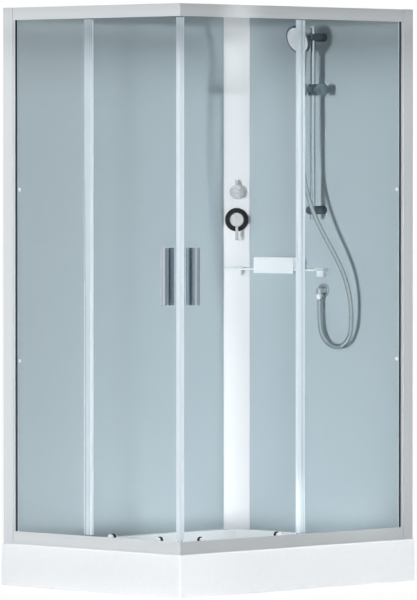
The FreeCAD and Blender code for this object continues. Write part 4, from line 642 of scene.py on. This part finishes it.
class SHOWERCABIN_OT_stage(bpy.types.Operator):
    """Set up the floor, the lights and the camera"""

    bl_idname = "shower_cabin.stage"
    bl_label = "Studio"

    def execute(self, context):
        scene = context.scene
        studio = scene.cabin_studio
        scene.view_settings.view_transform = "Standard"
        self.make_world(scene, studio)
        self.make_floor()
        for name, setting, size, grid_degrees, place, target in LAMPS:
            self.make_lamp(name, getattr(studio, setting), size, grid_degrees, place, target)
        for card in CARDS:
            self.make_card(*card)
        for name in SHADOWLESS:
            NODES[name].visible_shadow = False
        camera = bpy.data.objects.new("camera", bpy.data.cameras.new("camera"))
        camera.data.lens = studio.lens
        camera.data.clip_end = CAMERA_REACH
        camera.location = (studio.camera_x, studio.camera_y, studio.camera_z)
        camera.rotation_euler = (math.pi / 2 - studio.camera_pitch, 0, studio.camera_azimuth)
        scene.collection.objects.link(camera)
        scene.camera = camera
        return {"FINISHED"}

    def make_world(self, scene, studio):
        """White backdrop for the camera, metal and glass, and softer light for everything else."""
        world = bpy.data.worlds.new("studio")
        world.use_nodes = True
        tree = world.node_tree
        level = add_node(tree, "ShaderNodeValToRGB", {"Fac": self.seen_share(tree)})
        level.color_ramp.elements[0].color = shaded(linear(studio.sky_tint), studio.sky)
        level.color_ramp.elements[1].color = WHITE
        tree.links.new(level.outputs["Color"], tree.nodes["Background"].inputs["Color"])
        scene.world = world

    def seen_share(self, tree):
        """1 for rays that show the backdrop: from the camera, off metal or through glass."""
        ray = add_node(tree, "ShaderNodeLightPath")
        mirrored = add_node(tree, "ShaderNodeMath", {
            0: ray.outputs["Is Camera Ray"], 1: ray.outputs["Is Glossy Ray"]}, operation="MAXIMUM")
        through = add_node(tree, "ShaderNodeMath", {
            0: mirrored.outputs["Value"], 1: ray.outputs["Is Transmission Ray"]}, operation="MAXIMUM")
        return through.outputs["Value"]

    def make_floor(self):
        """Pale floor that keeps a soft shadow."""
        material = bpy.data.materials.new("studio_floor")
        material.use_nodes = True
        tree = material.node_tree
        shader = tree.nodes["Principled BSDF"]
        shader.inputs["Base Color"].default_value = linear(FLOOR_COLOUR)
        shader.inputs["Roughness"].default_value = FLOOR_ROUGHNESS
        shader.inputs["Specular IOR Level"].default_value = 0.0
        glow = add_node(tree, "ShaderNodeEmission", {"Color": WHITE, "Strength": FLOOR_GLOW})
        share = add_node(tree, "ShaderNodeMapRange", {
            "Value": self.seen_share(tree), "To Max": FLOOR_GLOW_SHARE})
        mix = add_node(tree, "ShaderNodeMixShader", {
            0: share.outputs["Result"], 1: shader.outputs["BSDF"], 2: glow.outputs["Emission"]})
        tree.links.new(mix.outputs["Shader"], tree.nodes["Material Output"].inputs["Surface"])
        corners = [(x * FLOOR_REACH, y * FLOOR_REACH, FLOOR_Z) for x, y in SQUARE]
        floor = mesh_object("floor", corners, [(0, 1, 2, 3)], material)

    def make_lamp(self, name, power, size, grid_degrees, place, target):
        """Softbox with a grid, which lights only what lies in front of it and is not mirrored."""
        lamp = bpy.data.lights.new(name, "AREA")
        lamp.energy = power
        lamp.shape = "RECTANGLE"
        lamp.size, lamp.size_y = size
        lamp.spread = math.radians(grid_degrees)
        holder = bpy.data.objects.new(name, lamp)
        holder.location = place
        aim = Vector(target) - Vector(place)
        holder.rotation_euler = aim.to_track_quat("-Z", "Y").to_euler()
        holder.visible_camera = False
        holder.visible_transmission = False
        holder.visible_glossy = False
        bpy.context.scene.collection.objects.link(holder)

    def make_card(self, name, shade, place, facing, half_width, half_height, blocks_light):
        """Dark card that keeps the soft light off, or a grey one that only metal and glass mirror."""
        material = bpy.data.materials.new("studio_" + name)
        material.use_nodes = True
        tree = material.node_tree
        tree.nodes.remove(tree.nodes["Principled BSDF"])
        glow = add_node(tree, "ShaderNodeEmission", {"Color": WHITE, "Strength": shade})
        tree.links.new(glow.outputs["Emission"], tree.nodes["Material Output"].inputs["Surface"])
        turn = Vector(facing).to_track_quat("Z", "Y").to_matrix().to_4x4()
        stand = Matrix.Translation(place) @ turn
        corners = [stand @ Vector((x * half_width, y * half_height, 0)) for x, y in SQUARE]
        card = mesh_object(name, corners, [(0, 1, 2, 3)], material)
        card.visible_camera = False
        card.visible_transmission = False
        card.visible_glossy = not blocks_light
        card.visible_diffuse = blocks_light
        card.visible_shadow = blocks_light


class SHOWERCABIN_PT_panel(bpy.types.Panel):
    """Sidebar list of the cabin's steps"""

    bl_label = "Shower Cabin"
    bl_idname = "SHOWERCABIN_PT_panel"
    bl_space_type = "VIEW_3D"
    bl_region_type = "UI"
    bl_category = "Shower Cabin"

    def draw(self, context):
        for step in STEPS:
            self.layout.operator(step.bl_idname)


STEPS = (
    SHOWERCABIN_OT_finishes,
    SHOWERCABIN_OT_stage,
    SHOWERCABIN_OT_hose,
    SHOWERCABIN_OT_spray_nozzles,
)
GROUPS = {"cabin_colours": CabinColours, "cabin_sizes": CabinSizes, "cabin_studio": CabinStudio}


def register():
    """Register the settings, steps and panel."""
    for name, group in GROUPS.items():
        bpy.utils.register_class(group)
        setattr(bpy.types.Scene, name, PointerProperty(type=group))
    for step in STEPS:
        bpy.utils.register_class(step)
    bpy.utils.register_class(SHOWERCABIN_PT_panel)


def unregister():
    """Take everything off again."""
    bpy.utils.unregister_class(SHOWERCABIN_PT_panel)
    for step in reversed(STEPS):
        bpy.utils.unregister_class(step)
    for name, group in GROUPS.items():
        delattr(bpy.types.Scene, name)
        bpy.utils.unregister_class(group)


def main():
    """Run the steps in order."""
    register()
    bpy.ops.shower_cabin.finishes()
    bpy.ops.shower_cabin.stage()
    bpy.ops.shower_cabin.hose()
    bpy.ops.shower_cabin.spray_nozzles()


if __name__ == "__main__":
    main()
